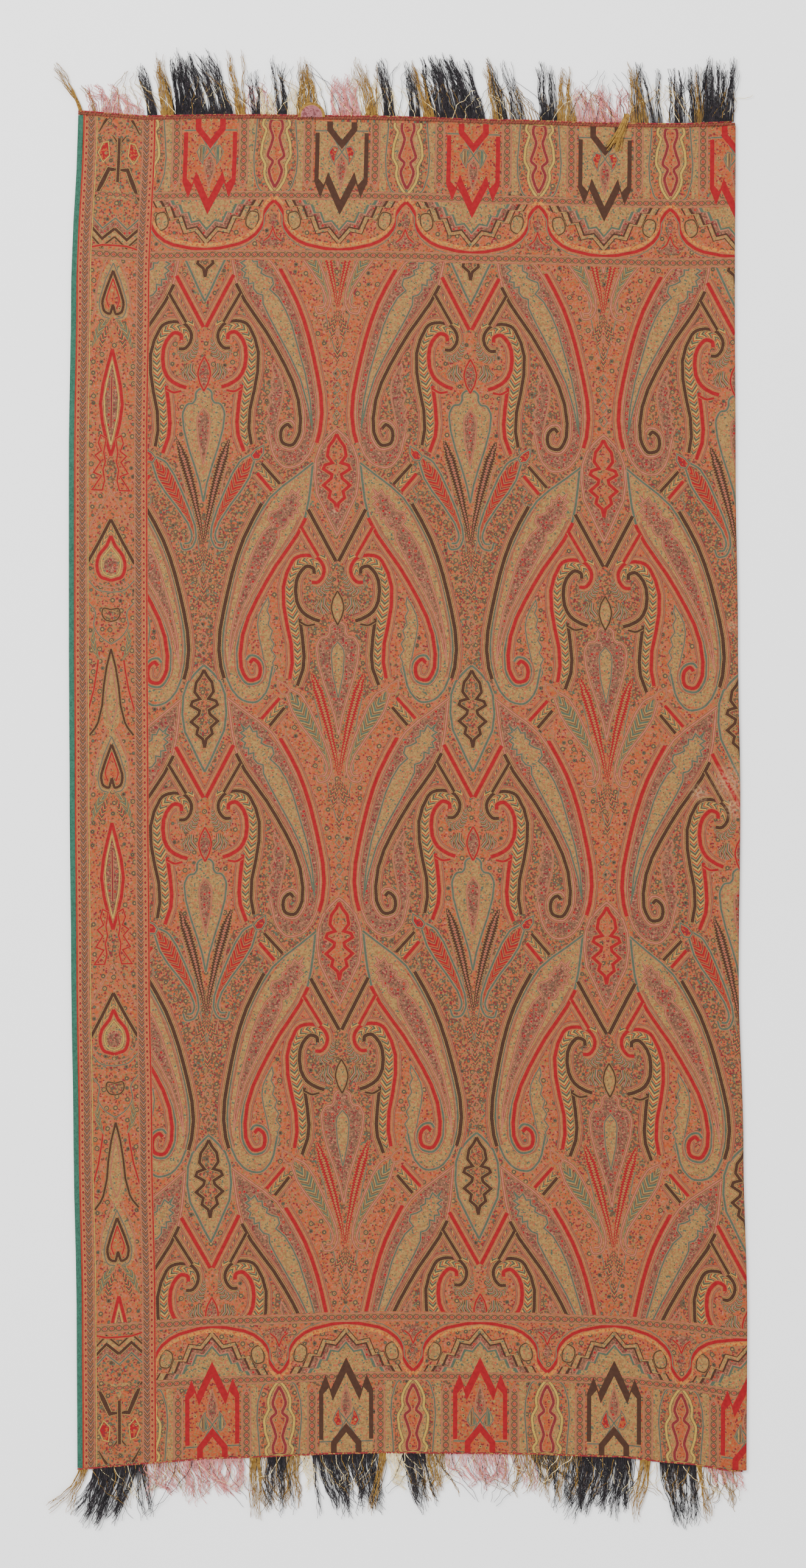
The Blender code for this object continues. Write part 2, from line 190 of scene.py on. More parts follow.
PALMETTE_HEAD = [
    (47.1, -6.4), (52.6, -0.8), (57.4, -5.6), (61.4, 2.3), (66.5, 1.8), (66.9, 8.7), (73.3, 11.9),
    (71.7, 17), (78.1, 20.6), (86, 23), (88, 31), (83, 38), (86, 40.5), (94, 48), (103.5, 64.3),
    (111.5, 83.4), (119.4, 111), (129.5, 146), (136, 180), (139.5, 218), (133, 186), (123, 152),
    (110, 124), (96.5, 99), (83, 74), (74.5, 56), (74.1, 45.3), (67, 43), (62.2, 37), (62.2, 29.4),
    (55.8, 31), (55.8, 23.5), (49.5, 23), (51.8, 16.5), (46.5, 12.5), (51.8, 8), (45.5, 3.5), (50.5, 1),
]
SCROLL_OUTER = [
    (32.8, 112.9), (25.6, 112.9), (19.2, 106.5), (16.9, 95.4), (24, 82.7), (39.9, 77.9),
    (52.6, 81.1), (62.2, 95.4), (66.9, 108.1), (69.3, 120.8), (68.5, 143.1), (65.3, 163.8),
    (60.6, 182.9), (58.2, 203.5), (58.2, 219.4), (61.4, 237),
]
SCROLL_INNER = [
    (29.6, 101.8), (30.4, 95.4), (38.3, 92.2), (46.3, 98.6), (51.8, 109.7), (53.4, 124),
    (51, 139.9), (44.7, 151), (33.5, 159), (22.4, 163),
]
SCROLL_FOOT = [(47.9, 160), (46.5, 172), (44.8, 184), (43.1, 199), (43.9, 222.6), (51.8, 245.7)]
SCROLL_FEATHER = [
    (25, 103, 4), (24, 93, 5), (31, 85.5, 5.5), (41, 84, 6), (50.5, 89, 6.5), (57.5, 99, 6.5),
    (61, 112, 6.5), (61.5, 127, 7), (59.5, 144, 7.5), (56.5, 160, 8), (53, 178, 7.5),
    (50.6, 196, 7), (51, 216, 7), (56, 239, 5),
]
CROWN_LEAF = [
    (0, 22), (2.2, 11), (10, 4), (8, -4), (17, -12), (7, -21), (6, -26), (17, -33), (15, -38),
    (5.5, -41), (12, -50), (10, -62), (4, -70), (0, -78),
]
CROWN_GROUND = [
    (0, 53), (8, 37), (16.5, 18), (25, 0), (28, -22), (26.5, -46), (21, -62), (12, -73), (5, -80), (0, -84),
]
PITCHER = [
    (0, 165), (6, 165.5), (10, 170), (10.5, 178), (14, 183), (20, 184), (25.5, 192), (25.5, 212),
    (20, 236), (13, 258), (6, 280), (0, 310),
]
ALMOND = [(0, 124), (5.5, 134), (8, 146), (5.5, 157), (0, 168)]
SPINDLE = [(0, 190), (6.5, 198), (8.5, 212), (6.5, 232), (0, 262)]
BEADED_LEAF = [
    (33, 230, 2), (30, 239, 6.5), (25, 254, 7), (19, 275, 6.5), (12.5, 300, 5.5),
    (6, 330, 3.5), (0.5, 362, 1.5),
]
PETAL = [
    (62, 254, 1), (57, 262, 6), (50, 274, 9), (42, 287, 8.5), (34, 301, 6.5), (26, 315, 5),
    (18, 333, 2.5), (12, 350, 1),
]
PETAL_LEFT = [
    (60.6, 250), (49, 256.5), (39, 270.6), (30, 290), (17.5, 320), (10.5, 342), (10, 358),
    (16.5, 369), (26, 370), (29.6, 361),
]
PETAL_RIGHT = [
    (66, 256), (63, 268), (56.5, 284), (41, 306), (27, 325), (17, 344), (15, 355),
    (18.5, 362), (24.5, 362.5),
]
BUD = [(76.5, 238.5), (77, 248), (72, 256), (64.5, 257), (61, 251), (66, 244.5)]
SERRATED_LEAF = [
    (88.4, 132), (95, 143), (100.3, 155), (102, 167), (100.3, 181), (97, 196), (93.5, 214), (92.5, 234),
    (86, 238), (80, 226), (83, 216), (79, 208), (84.5, 200), (81, 192), (86, 184), (83, 175),
    (88.5, 167), (86, 157), (90, 149), (87, 140),
]
ARCH_GROUND = [
    (45, 42), (68, 76), (102, 132), (122, 190), (124, 232), (140, 240), (133, 262), (98, 290), (72, 262),
    (60, 238), (57, 205), (68, 143), (69, 120), (61, 95), (52, 81), (40, 79), (25, 81),
]
SCROLL_GROUND = [
    (0, 88), (16, 97), (30, 98), (45, 97), (53, 120), (50, 142), (45, 165), (44, 222),
    (52, 246), (38, 258), (0, 330),
]
COLUMN_GROUND = [
    (30, -41), (68.5, -11.5), (92, 13), (117.8, 52.5), (136.9, 111.3), (148.8, 167), (150, 214),
    (143, 240), (HALF_WIDTH, 262), (HALF_WIDTH, -60), (78, -60),
]
CRESCENT = [(9, 99, 1), (11, 111, 4), (16, 121.5, 5), (24, 124, 5), (32, 119, 2.5), (35.5, 112, 1)]
HALF_ROUND = [(12, 141, 9), (18, 143, 11), (24, 143.5, 9), (30, 142, 3)]
PLUME = (
    [(0.5, 366, 1), (5, 377, 3), (10, 386, 3.5), (15, 395, 1)],
    [(0.5, 372, 1), (3.5, 386, 3), (7, 398, 3), (9, 407, 0.8)],
    [(0, 400, 1), (0, 416, 4.5), (0, 436, 0.8)],
)
DIAMOND_PLACES = (448, 466, 484, 502)

FIELD_FIGURES = [
    (0, patch("salmon", COLUMN_GROUND, smooth=False)),
    (1, patch("umber", ARCH_GROUND)),
    (1, patch("salmon", SCROLL_GROUND)),
    (2, patch("gold", CROWN_GROUND, smooth=False)),
    (2, stroke("teal", CROWN_GROUND, 5.0, smooth=False)),
    (2, patch("umber", CROWN_LEAF, smooth=False)),
    (2, stroke("brown", CROWN_LEAF, 6.4, smooth=False)),
    (2, stroke("rose", [(HALF_WIDTH, 100), (160, 40), (157, -20), (HALF_WIDTH, -50)], 2.2)),
    (2, stroke("teal", [(HALF_WIDTH, 128), (153, 60), (149, 0), (140, -40)], 2.0)),
    (3, stroke("barbs", [(49, 30, 4), (36, 48, 5), (14, 84, 5)])),
    (3, stroke("barbs", SCROLL_FEATHER)),
    (3, stroke("ribs", CRESCENT)),
    (3, stroke("ribs", HALF_ROUND)),
    (3, patch("dusk", SERRATED_LEAF, smooth=False)),
    (3, stroke("rose", SERRATED_LEAF, 2.6, smooth=False, closed=True)),
    (4, stroke("dusk", BOTEH_BAND)),
    (4, patch("gold", PALMETTE_HEAD, smooth=False)),
    (4, stroke("teal", PALMETTE_HEAD, 3.6, smooth=False, closed=True)),
    (5, stroke("rose", BOTEH_LEFT, 5.2)),
    (5, stroke("brown", BOTEH_INNER, 7.2)),
    (5, stroke("rose", BOTEH_RIGHT, 4.6)),
    (5, stroke("red", RIGHT_OUTLINE, 7.6)),
    (5, patch("gold", PITCHER)),
    (5, stroke("teal", PITCHER, 4.4)),
    (5, patch("dusk", SPINDLE)),
    (5, stroke("rose", SPINDLE, 2.6)),
    (5, patch("dusk", ALMOND)),
    (5, stroke("red", ALMOND, 3.2)),
    (3.4, stroke("brown", SCROLL_OUTER, 7.0)),
    (3.4, stroke("red", SCROLL_INNER, 7.6)),
    (5, stroke("red", [(28.8, 167), (39, 168.5), (47.9, 163.8)], 4.4)),
    (3.4, stroke("red", SCROLL_FOOT, 7.4)),
    (5, stroke("red", [(36.7, 19.1), (1.7, 86)], 7.6)),
    (5, stroke("brown", [(45.5, 42.1), (24, 79.5)], 6.4)),
    (5, stroke("petal", PETAL)),
    (5, stroke("teal", PETAL_LEFT, 4.4)),
    (5, stroke("teal", PETAL_RIGHT, 4.4)),
    (5, stroke("loops", BEADED_LEAF)),
    (5, patch("petal_ground", BUD, smooth=False)),
    (5, stroke("teal", BUD, 2.8, smooth=False, closed=True)),
    (5, stroke("barbs", [(71.5, 268), (92.5, 292.5)], 8.0)),
    (5, stroke("brown", [(74.5, 261.5), (97.9, 288)], 6.6)),
    (5, stroke("red", [(68.5, 273.8), (87.6, 296.8)], 6.8)),
    (5, stroke("teal", [(66.9, 288), (72.5, 293), (67, 304), (69, 311), (75, 312)], 1.8)),
]
FIELD_FIGURES += [(5, stroke("flame", leaf)) for leaf in PLUME]
FIELD_FIGURES += [
    (5, stroke("rose", [(0, place - 7), (5, place), (0, place + 7)], 1.8, smooth=False))
    for place in DIAMOND_PLACES
]

EXCHANGE = {
    "salmon": "umber", "gold": "dusk", "teal": "rose", "brown": "red",
    "petal": "petal_teal", "petal_ground": "orange", "loops": "loops_red",
}
EXCHANGE.update({other: style for style, other in list(EXCHANGE.items())})


def flipped(points):
    """Places seen from the other mirror line, half a repeat lower."""
    return np.column_stack([HALF_WIDTH - points[:, 0], points[:, 1] + REPEAT / 2])


def dropped(cells):
    """The same cells on the other mirror line: half a repeat lower, in the other colours."""
    turned = []
    for cell in cells:
        other = dict(cell, style=EXCHANGE.get(cell["style"], cell["style"]))
        other["outline"] = flipped(cell["outline"])
        other["guide"] = None if cell["guide"] is None else flipped(cell["guide"])
        turned.append(other)
    return turned


# %% [markdown]
# ## Lines beside the strong lines
# The weavers set every strong line off with thin lines that run beside it. A wider stroke under
# each red or brown one gives them, with its colours in stripes from its middle to its edge.

# %% Echo lines, and the field's layers
ECHO_REACH = 4.6
ECHOED_WIDTH = 6.3


def echo(cells):
    """A wider stroke under a stroke, for the thin lines beside it."""
    wider = []
    for cell in cells:
        here, there = cell["guide"]
        middles = np.array([here, here, there, there])
        half = max(cell["widths"])
        more = (half + ECHO_REACH) / half
        outline = middles + (cell["outline"] - middles) * more
        widths = tuple(width * more for width in cell["widths"])
        wider.append(dict(cell, style="echo", outline=outline, widths=widths))
    return wider


strong = [
    (layer, cells) for layer, cells in FIELD_FIGURES
    if cells[0]["style"] in ("red", "brown") and 2 * max(cells[0]["widths"]) > ECHOED_WIDTH
]
FIELD_FIGURES += [(layer - 0.5, echo(cells)) for layer, cells in strong]
print("strokes with echo lines:", len(strong))
field_layers = sorted(
    FIELD_FIGURES + [(layer, dropped(cells)) for layer, cells in FIELD_FIGURES],
    key=lambda figure: figure[0],
)
print("figures in one repeat of the field:", len(field_layers))

# %% [markdown]
# ## The borders' figures
# The two ends carry a border of compartments, red ones on one mirror line and brown ones on
# the other, with an urn between them and a cusped medallion below each. The side has a long
# narrow border of hearts, spindles and pears between zigzag guards. Their points were read
# off the photograph too.

# %% Figures of the end border: distance from the mirror line, distance from the hem
COMPARTMENT = [(34, 2), (34, 80), (26, 100), (19, 82), (0, 121)]
BARS = [
    (34.5, 17), (34.5, 80), (26, 101), (19.5, 82), (0, 123), (0, 103), (17, 67), (22, 84),
    (29, 76), (29, 17),
]
UPPER_BARS = [(12, 0), (19.5, 0), (19.5, 14), (0, 38), (0, 26), (12, 11)]
SMALL_LEAF = [(4, 36), (12, 34), (17, 42), (13, 52), (9, 58), (8, 48)]
MEDALLION = [
    (0, 163), (15, 145), (30, 148), (38, 128), (49, 130), (56, 113), (67, 113), (72, 104), (0, 104),
]
NESTED = (
    ("brown", 1.0), ("gold", 0.97), ("brown", 0.87), ("dusk", 0.82), ("rose", 0.71),
    ("teal", 0.68), ("gold", 0.62),
)
URN = [
    (85.2, 0), (70, 0), (68, 8), (72, 14), (69, 24), (66.5, 36), (66.5, 48), (72, 60), (71, 68),
    (76, 84), (85.2, 96),
]
URN_CORE = [
    (85.2, 0), (79, 2), (77, 10), (81, 24), (78, 36), (75, 48), (81, 54), (77, 66), (80, 78), (85.2, 88),
]
OGEE = [
    (85.2, 105), (79.5, 110), (74.5, 118), (73.5, 131), (66, 145), (51, 157), (30, 164), (0, 168),
]
OGEE_BAND = [(u, e - 3.5) for u, e in OGEE]
FLEUR = [(85.2, 118), (80, 130), (83, 142), (76, 152), (68, 156), (72, 162), (85.2, 164)]
BORDER_LEAF = [(56, 119), (65, 121), (66, 131), (59, 142), (51, 137), (50, 130)]


def end_figures(bar, fill, leaf):
    """One compartment with its half of the urn, medallion and ogee."""
    figures = [
        patch("tawny", [(0, 0), (86, 0), (86, 93), (0, 93)], smooth=False),
        patch("salmon", [(0, 93), (86, 93), (86, 182), (0, 182)], smooth=False),
        stroke("rose", [(38, 0), (38, 82)], 2.2),
        stroke("studs", [(43.6, 0), (43.6, 84)], 8.0),
        stroke("rose", [(48.6, 0), (48.6, 78), (44, 88), (38, 78)], 2.2, smooth=False),
        stroke("gold", [(54, 0), (54, 92)], 8.4),
        stroke("teal", [(60.5, 0), (60.5, 78), (66, 91), (78, 96)], 3.0),
        stroke("umber", [(64, 0), (64, 60)], 4.0),
        patch("gold", URN, smooth=False),
        patch("orange", URN_CORE, smooth=False),
        stroke("madder", URN_CORE, 6.0),
        stroke("yellow", URN, 4.4),
        stroke("studs", [(0, 98), (86, 98)], 6.5),
        stroke("rose", [(0, 93.6), (86, 93.6)], 1.8),
        stroke("rose", [(0, 102.4), (86, 102.4)], 1.8),
    ]
    for style, size in NESTED:
        shape = [(u * size, 103 + (e - 103) * size) for u, e in MEDALLION]
        figures.append(patch(style, shape, smooth=False))
    figures += [
        patch("gold", BORDER_LEAF),
        stroke("brown", BORDER_LEAF, 2.4, closed=True),
        patch(fill, [(0, 0)] + COMPARTMENT, smooth=False),
        stroke("teal", [(34, 14.5), (16, 14.5), (0, 42), (8, 52)], 3.0, smooth=False),
        patch(leaf, SMALL_LEAF, smooth=False),
        stroke("teal", SMALL_LEAF, 2.0, smooth=False, closed=True),
        patch("dusk", [(0, 46), (5, 58), (4, 72), (0, 84)]),
        stroke("rose", [(0, 44), (6, 58), (5, 72), (0, 88)], 2.0),
        patch(bar, BARS, smooth=False),
        patch(bar, UPPER_BARS, smooth=False),
        stroke("amber", OGEE_BAND, 8.4),
        stroke("red", OGEE, 6.4),
        stroke("teal", [(u, e + 5.6) for u, e in OGEE[1:-1]] + [(0, 174)], 1.8),
        patch("dusk", FLEUR),
        stroke("umber", FLEUR, 2.0),
        stroke("red", [(85.2, 140), (80, 152), (74, 157)], 2.8),
        stroke("rose", [(0, 169.5), (86, 169.5)], 2.0),
        stroke("studs", [(0, 174.5), (86, 174.5)], 7.0),
        stroke("rose", [(0, 179.5), (86, 179.5)], 2.0),
    ]
    return figures


RED_END = end_figures("red", "orange", "petal_teal")
BROWN_END = end_figures("brown", "gold", "petal_ground")

# %% Figures of the side border: distance from its middle line, distance below the field's top
SIDE_MIDDLE = 53.8
SIDE_HALF = 30.0
HEART = [(0, 14), (5, 28), (11, 44), (13.5, 57), (10, 67), (4, 69), (1.5, 62), (0, 57)]
SIDE_LEAVES = [
    (6, 228), (13, 224), (16, 234), (12, 244), (20, 250), (13, 258), (22, 272), (12, 276),
    (24, 294), (11, 294), (8, 282), (10, 268), (7, 258), (9, 246),
]
SIDE_FIGURES = [
    patch("salmon", [(0, -4), (30, -4), (30, 610), (0, 610)], smooth=False),
    patch("gold", [(0, -8), (8, 8), (18, 30), (21, 56), (16, 74), (6, 78), (0, 72)]),
    stroke("rose", [(6, -6), (16, 18), (22, 44), (23, 62), (28, 78)], 2.4),
    patch("orange", HEART),
    stroke("teal", [(0, 4), (8, 22), (15, 42), (17.5, 60), (12, 73), (4, 75)], 2.4),
    stroke("brown", HEART, 5.6),
    stroke("red", [(0, 24), (5, 38), (8, 52), (5, 61)], 2.6),
    stroke("petal_teal", [(5, 76, 1), (15, 86, 4.5), (21, 100, 4), (26, 112, 1)]),
    stroke("flame", [(3, 80, 1), (9, 92, 4), (14, 106, 3.5), (16, 118, 1)]),
    patch("dusk", [(0, 114), (7, 142), (14, 181), (9, 216), (0, 246)]),
    stroke("yellow", [(0, 128), (5, 150), (9.6, 181), (6.5, 208), (0, 236)], 2.4),
    stroke("madder", [(0, 150), (0, 214)], 3.4),
    stroke("red", [(0, 114), (7.5, 144), (14, 181), (9.5, 216), (0, 250)], 6.4),
    patch("orange", SIDE_LEAVES, smooth=False),
    stroke("red", SIDE_LEAVES, 2.8, smooth=False, closed=True),
    patch("umber", [(0, 250), (7, 262), (5, 282), (0, 292)]),
    stroke("rose", [(0, 294), (10, 312), (22, 332), (30, 348)], 2.6, smooth=False),
    patch("tawny", [(0, 330), (16, 360), (30, 386), (30, 430), (0, 430)], smooth=False),
    stroke("brown", [(0, 331), (15, 360), (30, 387)], 6.6, smooth=False),
    stroke("barbs", [(0, 342), (12, 365), (24, 388)], 5.0, smooth=False),
    patch("gold", [(0, 353), (6, 364), (17, 380), (19, 394), (13, 407), (0, 412)]),
    stroke("red", [(0, 352), (5, 364), (15.5, 378), (18, 391), (13.5, 404), (0, 409)], 6.4),
    stroke("yellow", [(0, 366), (6, 373), (11.5, 382), (12, 392), (8, 401), (0, 404)], 2.2),
    patch("dusk", [(0, 379), (7, 383), (9, 391), (6, 398), (0, 400)]),
    stroke("rose", [(0, 418), (15, 415), (26, 404), (30, 394)], 2.6),
    stroke("teal", [(0, 424), (17, 421), (30, 408)], 2.4),
    patch("umber", [(0, 447), (9, 446), (11, 451), (7, 458), (0, 460)]),
    stroke("brown", [(0, 446), (10, 445), (11.5, 451), (7, 459), (0, 461)], 2.8),
    stroke("teal", [(30, 436), (20, 450), (22, 466), (14, 480), (0, 490)], 2.4),
    patch("gold", [(0, 498), (6, 530), (11, 570), (8, 594), (0, 604)]),
    stroke("brown", [(0, 496), (8, 530), (12.5, 572), (19, 594), (28, 606)], 4.4),
    stroke("rose", [(0, 512), (4.5, 540), (7, 572), (0, 592)], 2.2),
    stroke("red", [(15, 500), (19, 530), (24, 556), (30, 576)], 3.2),
    stroke("petal_teal", [(22, 470, 1), (23, 486, 3.5), (20, 500, 3), (15, 510, 1)]),
]
CORNER_FIGURES = [
    patch("tawny", [(0, 0), (30, 0), (30, 182), (0, 182)], smooth=False),
    stroke("rose", [(10, 13), (22, 15), (30, 26)], 2.0),
    patch("petal_ground", [(14, 32), (20, 34), (25, 46), (20, 56), (13, 48)], smooth=False),
    stroke("yellow", [(14, 31), (21, 33), (26.5, 46), (20, 58), (12, 49)], 1.8, smooth=False, closed=True),
    stroke("brown", [(16, 2, 3), (21, 10, 3.4), (27, 20, 1)]),
    stroke("brown", [(0, 34, 2.2), (3, 31, 2.4), (9, 23, 1)]),
    stroke("brown", [(0, 26), (0, 82)], 6.4),
    stroke("brown", [(3, 66, 2.6), (12, 66, 4), (19, 82, 4.6), (29, 104, 2)], smooth=False),
    patch("gold", [(0, 84), (6, 96), (12, 104), (0, 104)], smooth=False),
    stroke("studs", [(0, 98), (30, 98)], 5.0),
]
for rise, style, width in (
    (0, "teal", 3.4), (7, "dusk", 6.0), (13.5, "brown", 6.4), (19, "gold", 5.0), (24, "brown", 3.6),
):
    zigzag = [(0, 128 + rise), (16, 142 + rise), (30, 128 + rise)]
    CORNER_FIGURES.append(stroke(style, zigzag, width, smooth=False))
CORNER_FIGURES += [
    stroke("red", [(0, 163), (14, 163), (30, 167)], 3.4),
    stroke("rose", [(0, 169.5), (30, 169.5)], 2.0),
    stroke("studs", [(0, 174.5), (30, 174.5)], 7.0),
    stroke("rose", [(0, 179.5), (30, 179.5)], 2.0),
]
# Guards that run the whole length, from the selvedge inwards: place, style, width.
SIDE_GUARDS = (
    (8.0, "red", 2.4), (11.5, "sawtooth", 6.0), (17.2, "zigzag", 7.4), (22.4, "rose", 1.6),
    (24.6, "yellow", 1.6), (84.2, "rose", 1.6), (89.6, "zigzag", 8.6), (95.6, "sawtooth", 6.0),
    (99.4, "red", 2.6),
)

# %% [markdown]
# ## Laying the figures out
# Every cell is cut to the stretch it belongs to, mirrored and repeated over the half sheet. The
# whole drawing then goes through one constrained Delaunay triangulation. It keeps every outline
# as an edge, and tells for each triangle which cells hold it. The last one drawn wins.

# %% Cutting cells to a window and collecting them
WHOLE = (CLOTH_START, FOLD_LINE, 0.0, SHEET_LENGTH)
layout = []


def cut(points, window):
    """A shape cut to a window, one straight side at a time."""
    left, right, top, foot = window
    for axis, limit, keep in ((0, left, 1), (0, right, -1), (1, top, 1), (1, foot, -1)):
        inside = (points[:, axis] - limit) * keep >= -TINY
        if inside.all():
            continue
        if not inside.any():
            return None
        kept = []
        for i in range(len(points)):
            here, there = points[i], points[(i + 1) % len(points)]
            if inside[i]:
                kept.append(here)
            if inside[i] != inside[(i + 1) % len(points)]:
                share = (limit - here[axis]) / (there[axis] - here[axis])
                kept.append(here + (there - here) * share)
        points = np.array(kept)
    return points if len(points) > 2 else None


def placed(points, across, side, down, way):
    """Points with their zero at (across, down), turned to one side, running down or up."""
    return np.column_stack([across + side * points[:, 0], down + way * points[:, 1]])


def lay(cells, across, side, down, way, window):
    """Lays cells in their place, each cut to the window."""
    for cell in cells:
        outline = cut(placed(cell["outline"], across, side, down, way), window)
        if outline is not None:
            guide = cell["guide"]
            if guide is not None:
                guide = placed(guide, across, side, down, way)
            layout.append(dict(cell, outline=outline, guide=guide))


whole_sheet = [(0, 0), (FOLD_LINE, 0), (FOLD_LINE, SHEET_LENGTH), (0, SHEET_LENGTH)]
lay(patch("tawny", whole_sheet, smooth=False), 0, 1, 0, 1, WHOLE)
# Strips between mirror lines: where the first line lies and to which side the strip runs.
STRIPS = [
    (FOLD_LINE - 2 * HALF_WIDTH * i, side)
    for i, side in ((0, -1), (1, 1), (1, -1), (2, 1), (2, -1))
]
for _, cells in field_layers:
    for line, side in STRIPS:
        low, high = sorted((line, line + side * HALF_WIDTH))
        for turn in range(-1, 3):
            top = FIELD_TOP + turn * REPEAT
            lay(cells, line, side, top, 1, (max(low, FIELD_LEFT), high, FIELD_TOP, FIELD_FOOT))
print("cells in the field:", len(layout))

for window, start, way in (
    ((FIELD_LEFT, FOLD_LINE, 0.0, FIELD_TOP), 0.0, 1),
    ((FIELD_LEFT, FOLD_LINE, FIELD_FOOT, SHEET_LENGTH), SHEET_LENGTH, -1),
):
    for line_number in range(6):
        line = FOLD_LINE - line_number * HALF_WIDTH
        for side in (-1, 1):
            low, high = sorted((line, line + side * HALF_WIDTH / 2))
            low, high = max(low, window[0]), min(high, window[1])
            if low < high:
                for cells in (BROWN_END, RED_END)[line_number % 2 == 0]:
                    lay(cells, line, side, start, way, (low, high, window[2], window[3]))
for side in (-1, 1):
    low, high = sorted((SIDE_MIDDLE, SIDE_MIDDLE + side * SIDE_HALF))
    for cells in SIDE_FIGURES:
        for turn in range(3):
            lay(cells, SIDE_MIDDLE, side, FIELD_TOP + turn * REPEAT, 1, (low, high, FIELD_TOP, FIELD_FOOT))
    for cells in CORNER_FIGURES:
        lay(cells, SIDE_MIDDLE, side, 0.0, 1, (low, high, 0.0, FIELD_TOP))
        lay(cells, SIDE_MIDDLE, side, SHEET_LENGTH, -1, (low, high, FIELD_FOOT, SHEET_LENGTH))
for place, style, width in SIDE_GUARDS:
    lay(stroke(style, [(place, 0), (place, SHEET_LENGTH)], width, smooth=False), 0, 1, 0, 1, WHOLE)
print("cells on half the sheet:", len(layout))

# %% The drawing as triangles
FREE_POINT_STEP = 13.0
WELD = 0.02
# Lines down the sheet where the fold bends, so that its turn is round.
FOLD_PLACES = [FOLD_LINE - back for back in (3.93, 2.9, 1.9, 0.95)]


def short_sided(outline):
    """An outline with points added on its long sides, so that it can follow the folded form."""
    ahead = np.roll(outline, -1, axis=0)
    lengths = np.linalg.norm(ahead - outline, axis=1)
    if lengths.max() < 1.5 * LONGEST_STEP:
        return outline
    points = []
    for here, there, length in zip(outline, ahead, lengths):
        count = max(1, round(length / LONGEST_STEP))
        points += [here + (there - here) * i / count for i in range(count)]
    return np.array(points)


def triangulate():
    """The points and triangles of the drawing: every cell's outline is kept as edges."""
    outlines = [short_sided(cell["outline"]) for cell in layout]
    corners = np.vstack(outlines)
    edges, start = [], 0
    for outline in outlines:
        count = len(outline)
        edges += [(start + i, start + (i + 1) % count) for i in range(count)]
        start += count
    taken = {(int(a // FREE_POINT_STEP), int(d // FREE_POINT_STEP)) for a, d in corners}
    free = []
    for i in range(int(FOLD_LINE // FREE_POINT_STEP)):
        for j in range(int(SHEET_LENGTH // FREE_POINT_STEP)):
            a, d = (i + 0.5) * FREE_POINT_STEP, (j + 0.5) * FREE_POINT_STEP
            if a > CLOTH_START + 1 and (i, j) not in taken:
                free.append((a, d))
    start += len(free)
    steps = np.append(np.arange(0, SHEET_LENGTH, FREE_POINT_STEP), SHEET_LENGTH)
    for place in FOLD_PLACES:
        free += [(place, d) for d in steps]
        edges += [(start + i, start + i + 1) for i in range(len(steps) - 1)]
        start += len(steps)
    points = [Vector(point) for point in corners] + [Vector(point) for point in free]
    found, _, faces, _, _, _ = geometry.delaunay_2d_cdt(points, edges, [], 0, WELD, False)
    return np.array([tuple(point) for point in found]), np.array(faces)


def holds(outline, points):
    """Which points lie inside an outline, by counting the sides they look across."""
    ahead = np.roll(outline, -1, axis=0)
    a, d = points[:, None, 0], points[:, None, 1]
    crosses = (outline[:, 1] > d) != (ahead[:, 1] > d)
    rise = np.where(ahead[:, 1] == outline[:, 1], TINY, ahead[:, 1] - outline[:, 1])
    meets = outline[:, 0] + (d - outline[:, 1]) * (ahead[:, 0] - outline[:, 0]) / rise
    return (crosses & (a < meets)).sum(axis=1) % 2 == 1


def top_cells(points, faces):
    """The number of the last cell drawn over each triangle's middle."""
    middles = points[faces].mean(axis=1)
    order = np.argsort(middles[:, 1])
    heights = middles[order, 1]
    owner = np.zeros(len(faces), dtype=int)
    for number, cell in enumerate(layout):
        low, high = cell["outline"].min(axis=0), cell["outline"].max(axis=0)
        near = order[slice(*np.searchsorted(heights, [low[1], high[1]]))]
        near = near[(middles[near, 0] >= low[0]) & (middles[near, 0] <= high[0])]
        if len(near):
            owner[near[holds(cell["outline"], middles[near])]] = number
    return owner


flat_points, triangles = triangulate()
print("points:", len(flat_points), "triangles:", len(triangles))
owners = top_cells(flat_points, triangles)

# %% Each triangle's style, and its place along and across its stroke
styles = sorted({cell["style"] for cell in layout})
style_numbers = np.array([styles.index(cell["style"]) for cell in layout])
no_guide = np.array([[0.0, 0.0], [1.0, 0.0]])
guides = np.array([no_guide if cell["guide"] is None else cell["guide"] for cell in layout])
has_guide = np.array([cell["guide"] is not None for cell in layout])
widths = np.array([cell["widths"] for cell in layout], dtype=float)
runs = np.array([cell["run"] for cell in layout])
NARROWEST_HALF = 0.4


def along_and_across(points, owner):
    """For a triangle's corners: run along the stroke in millimetres, and -1 to 1 across it."""
    start = guides[owner][:, None, 0]
    way = guides[owner][:, None, 1] - start
    length = np.maximum(np.linalg.norm(way, axis=2), 1e-6)
    from_start = points - start
    share = (from_start * way).sum(axis=2) / length**2
    off = (way[..., 0] * from_start[..., 1] - way[..., 1] * from_start[..., 0]) / length
    half = widths[owner][:, None, 0] * (1 - share) + widths[owner][:, None, 1] * share
    across = np.clip(off / np.maximum(np.abs(half), NARROWEST_HALF), -1, 1)
    return np.stack([runs[owner][:, None] + share * length, across], axis=2)


corner_points = flat_points[triangles]
on_middle = corner_points * [1.0, 0.0]
figure_map = np.where(
    has_guide[owners][:, None, None], along_and_across(corner_points, owners), on_middle
)
print("styles:", len(styles), styles)


# %% [markdown]
# ## The folded form
# The shawl lies folded once: an upper layer, a soft turn at the right and an under layer on the
# table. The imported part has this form, so its tables are repeated here, in millimetres. The
# drawing is carried over it by one formula, from a place on the sheet to a point in space. The
# edges' places were measured on the photograph and rounded to whole millimetres.

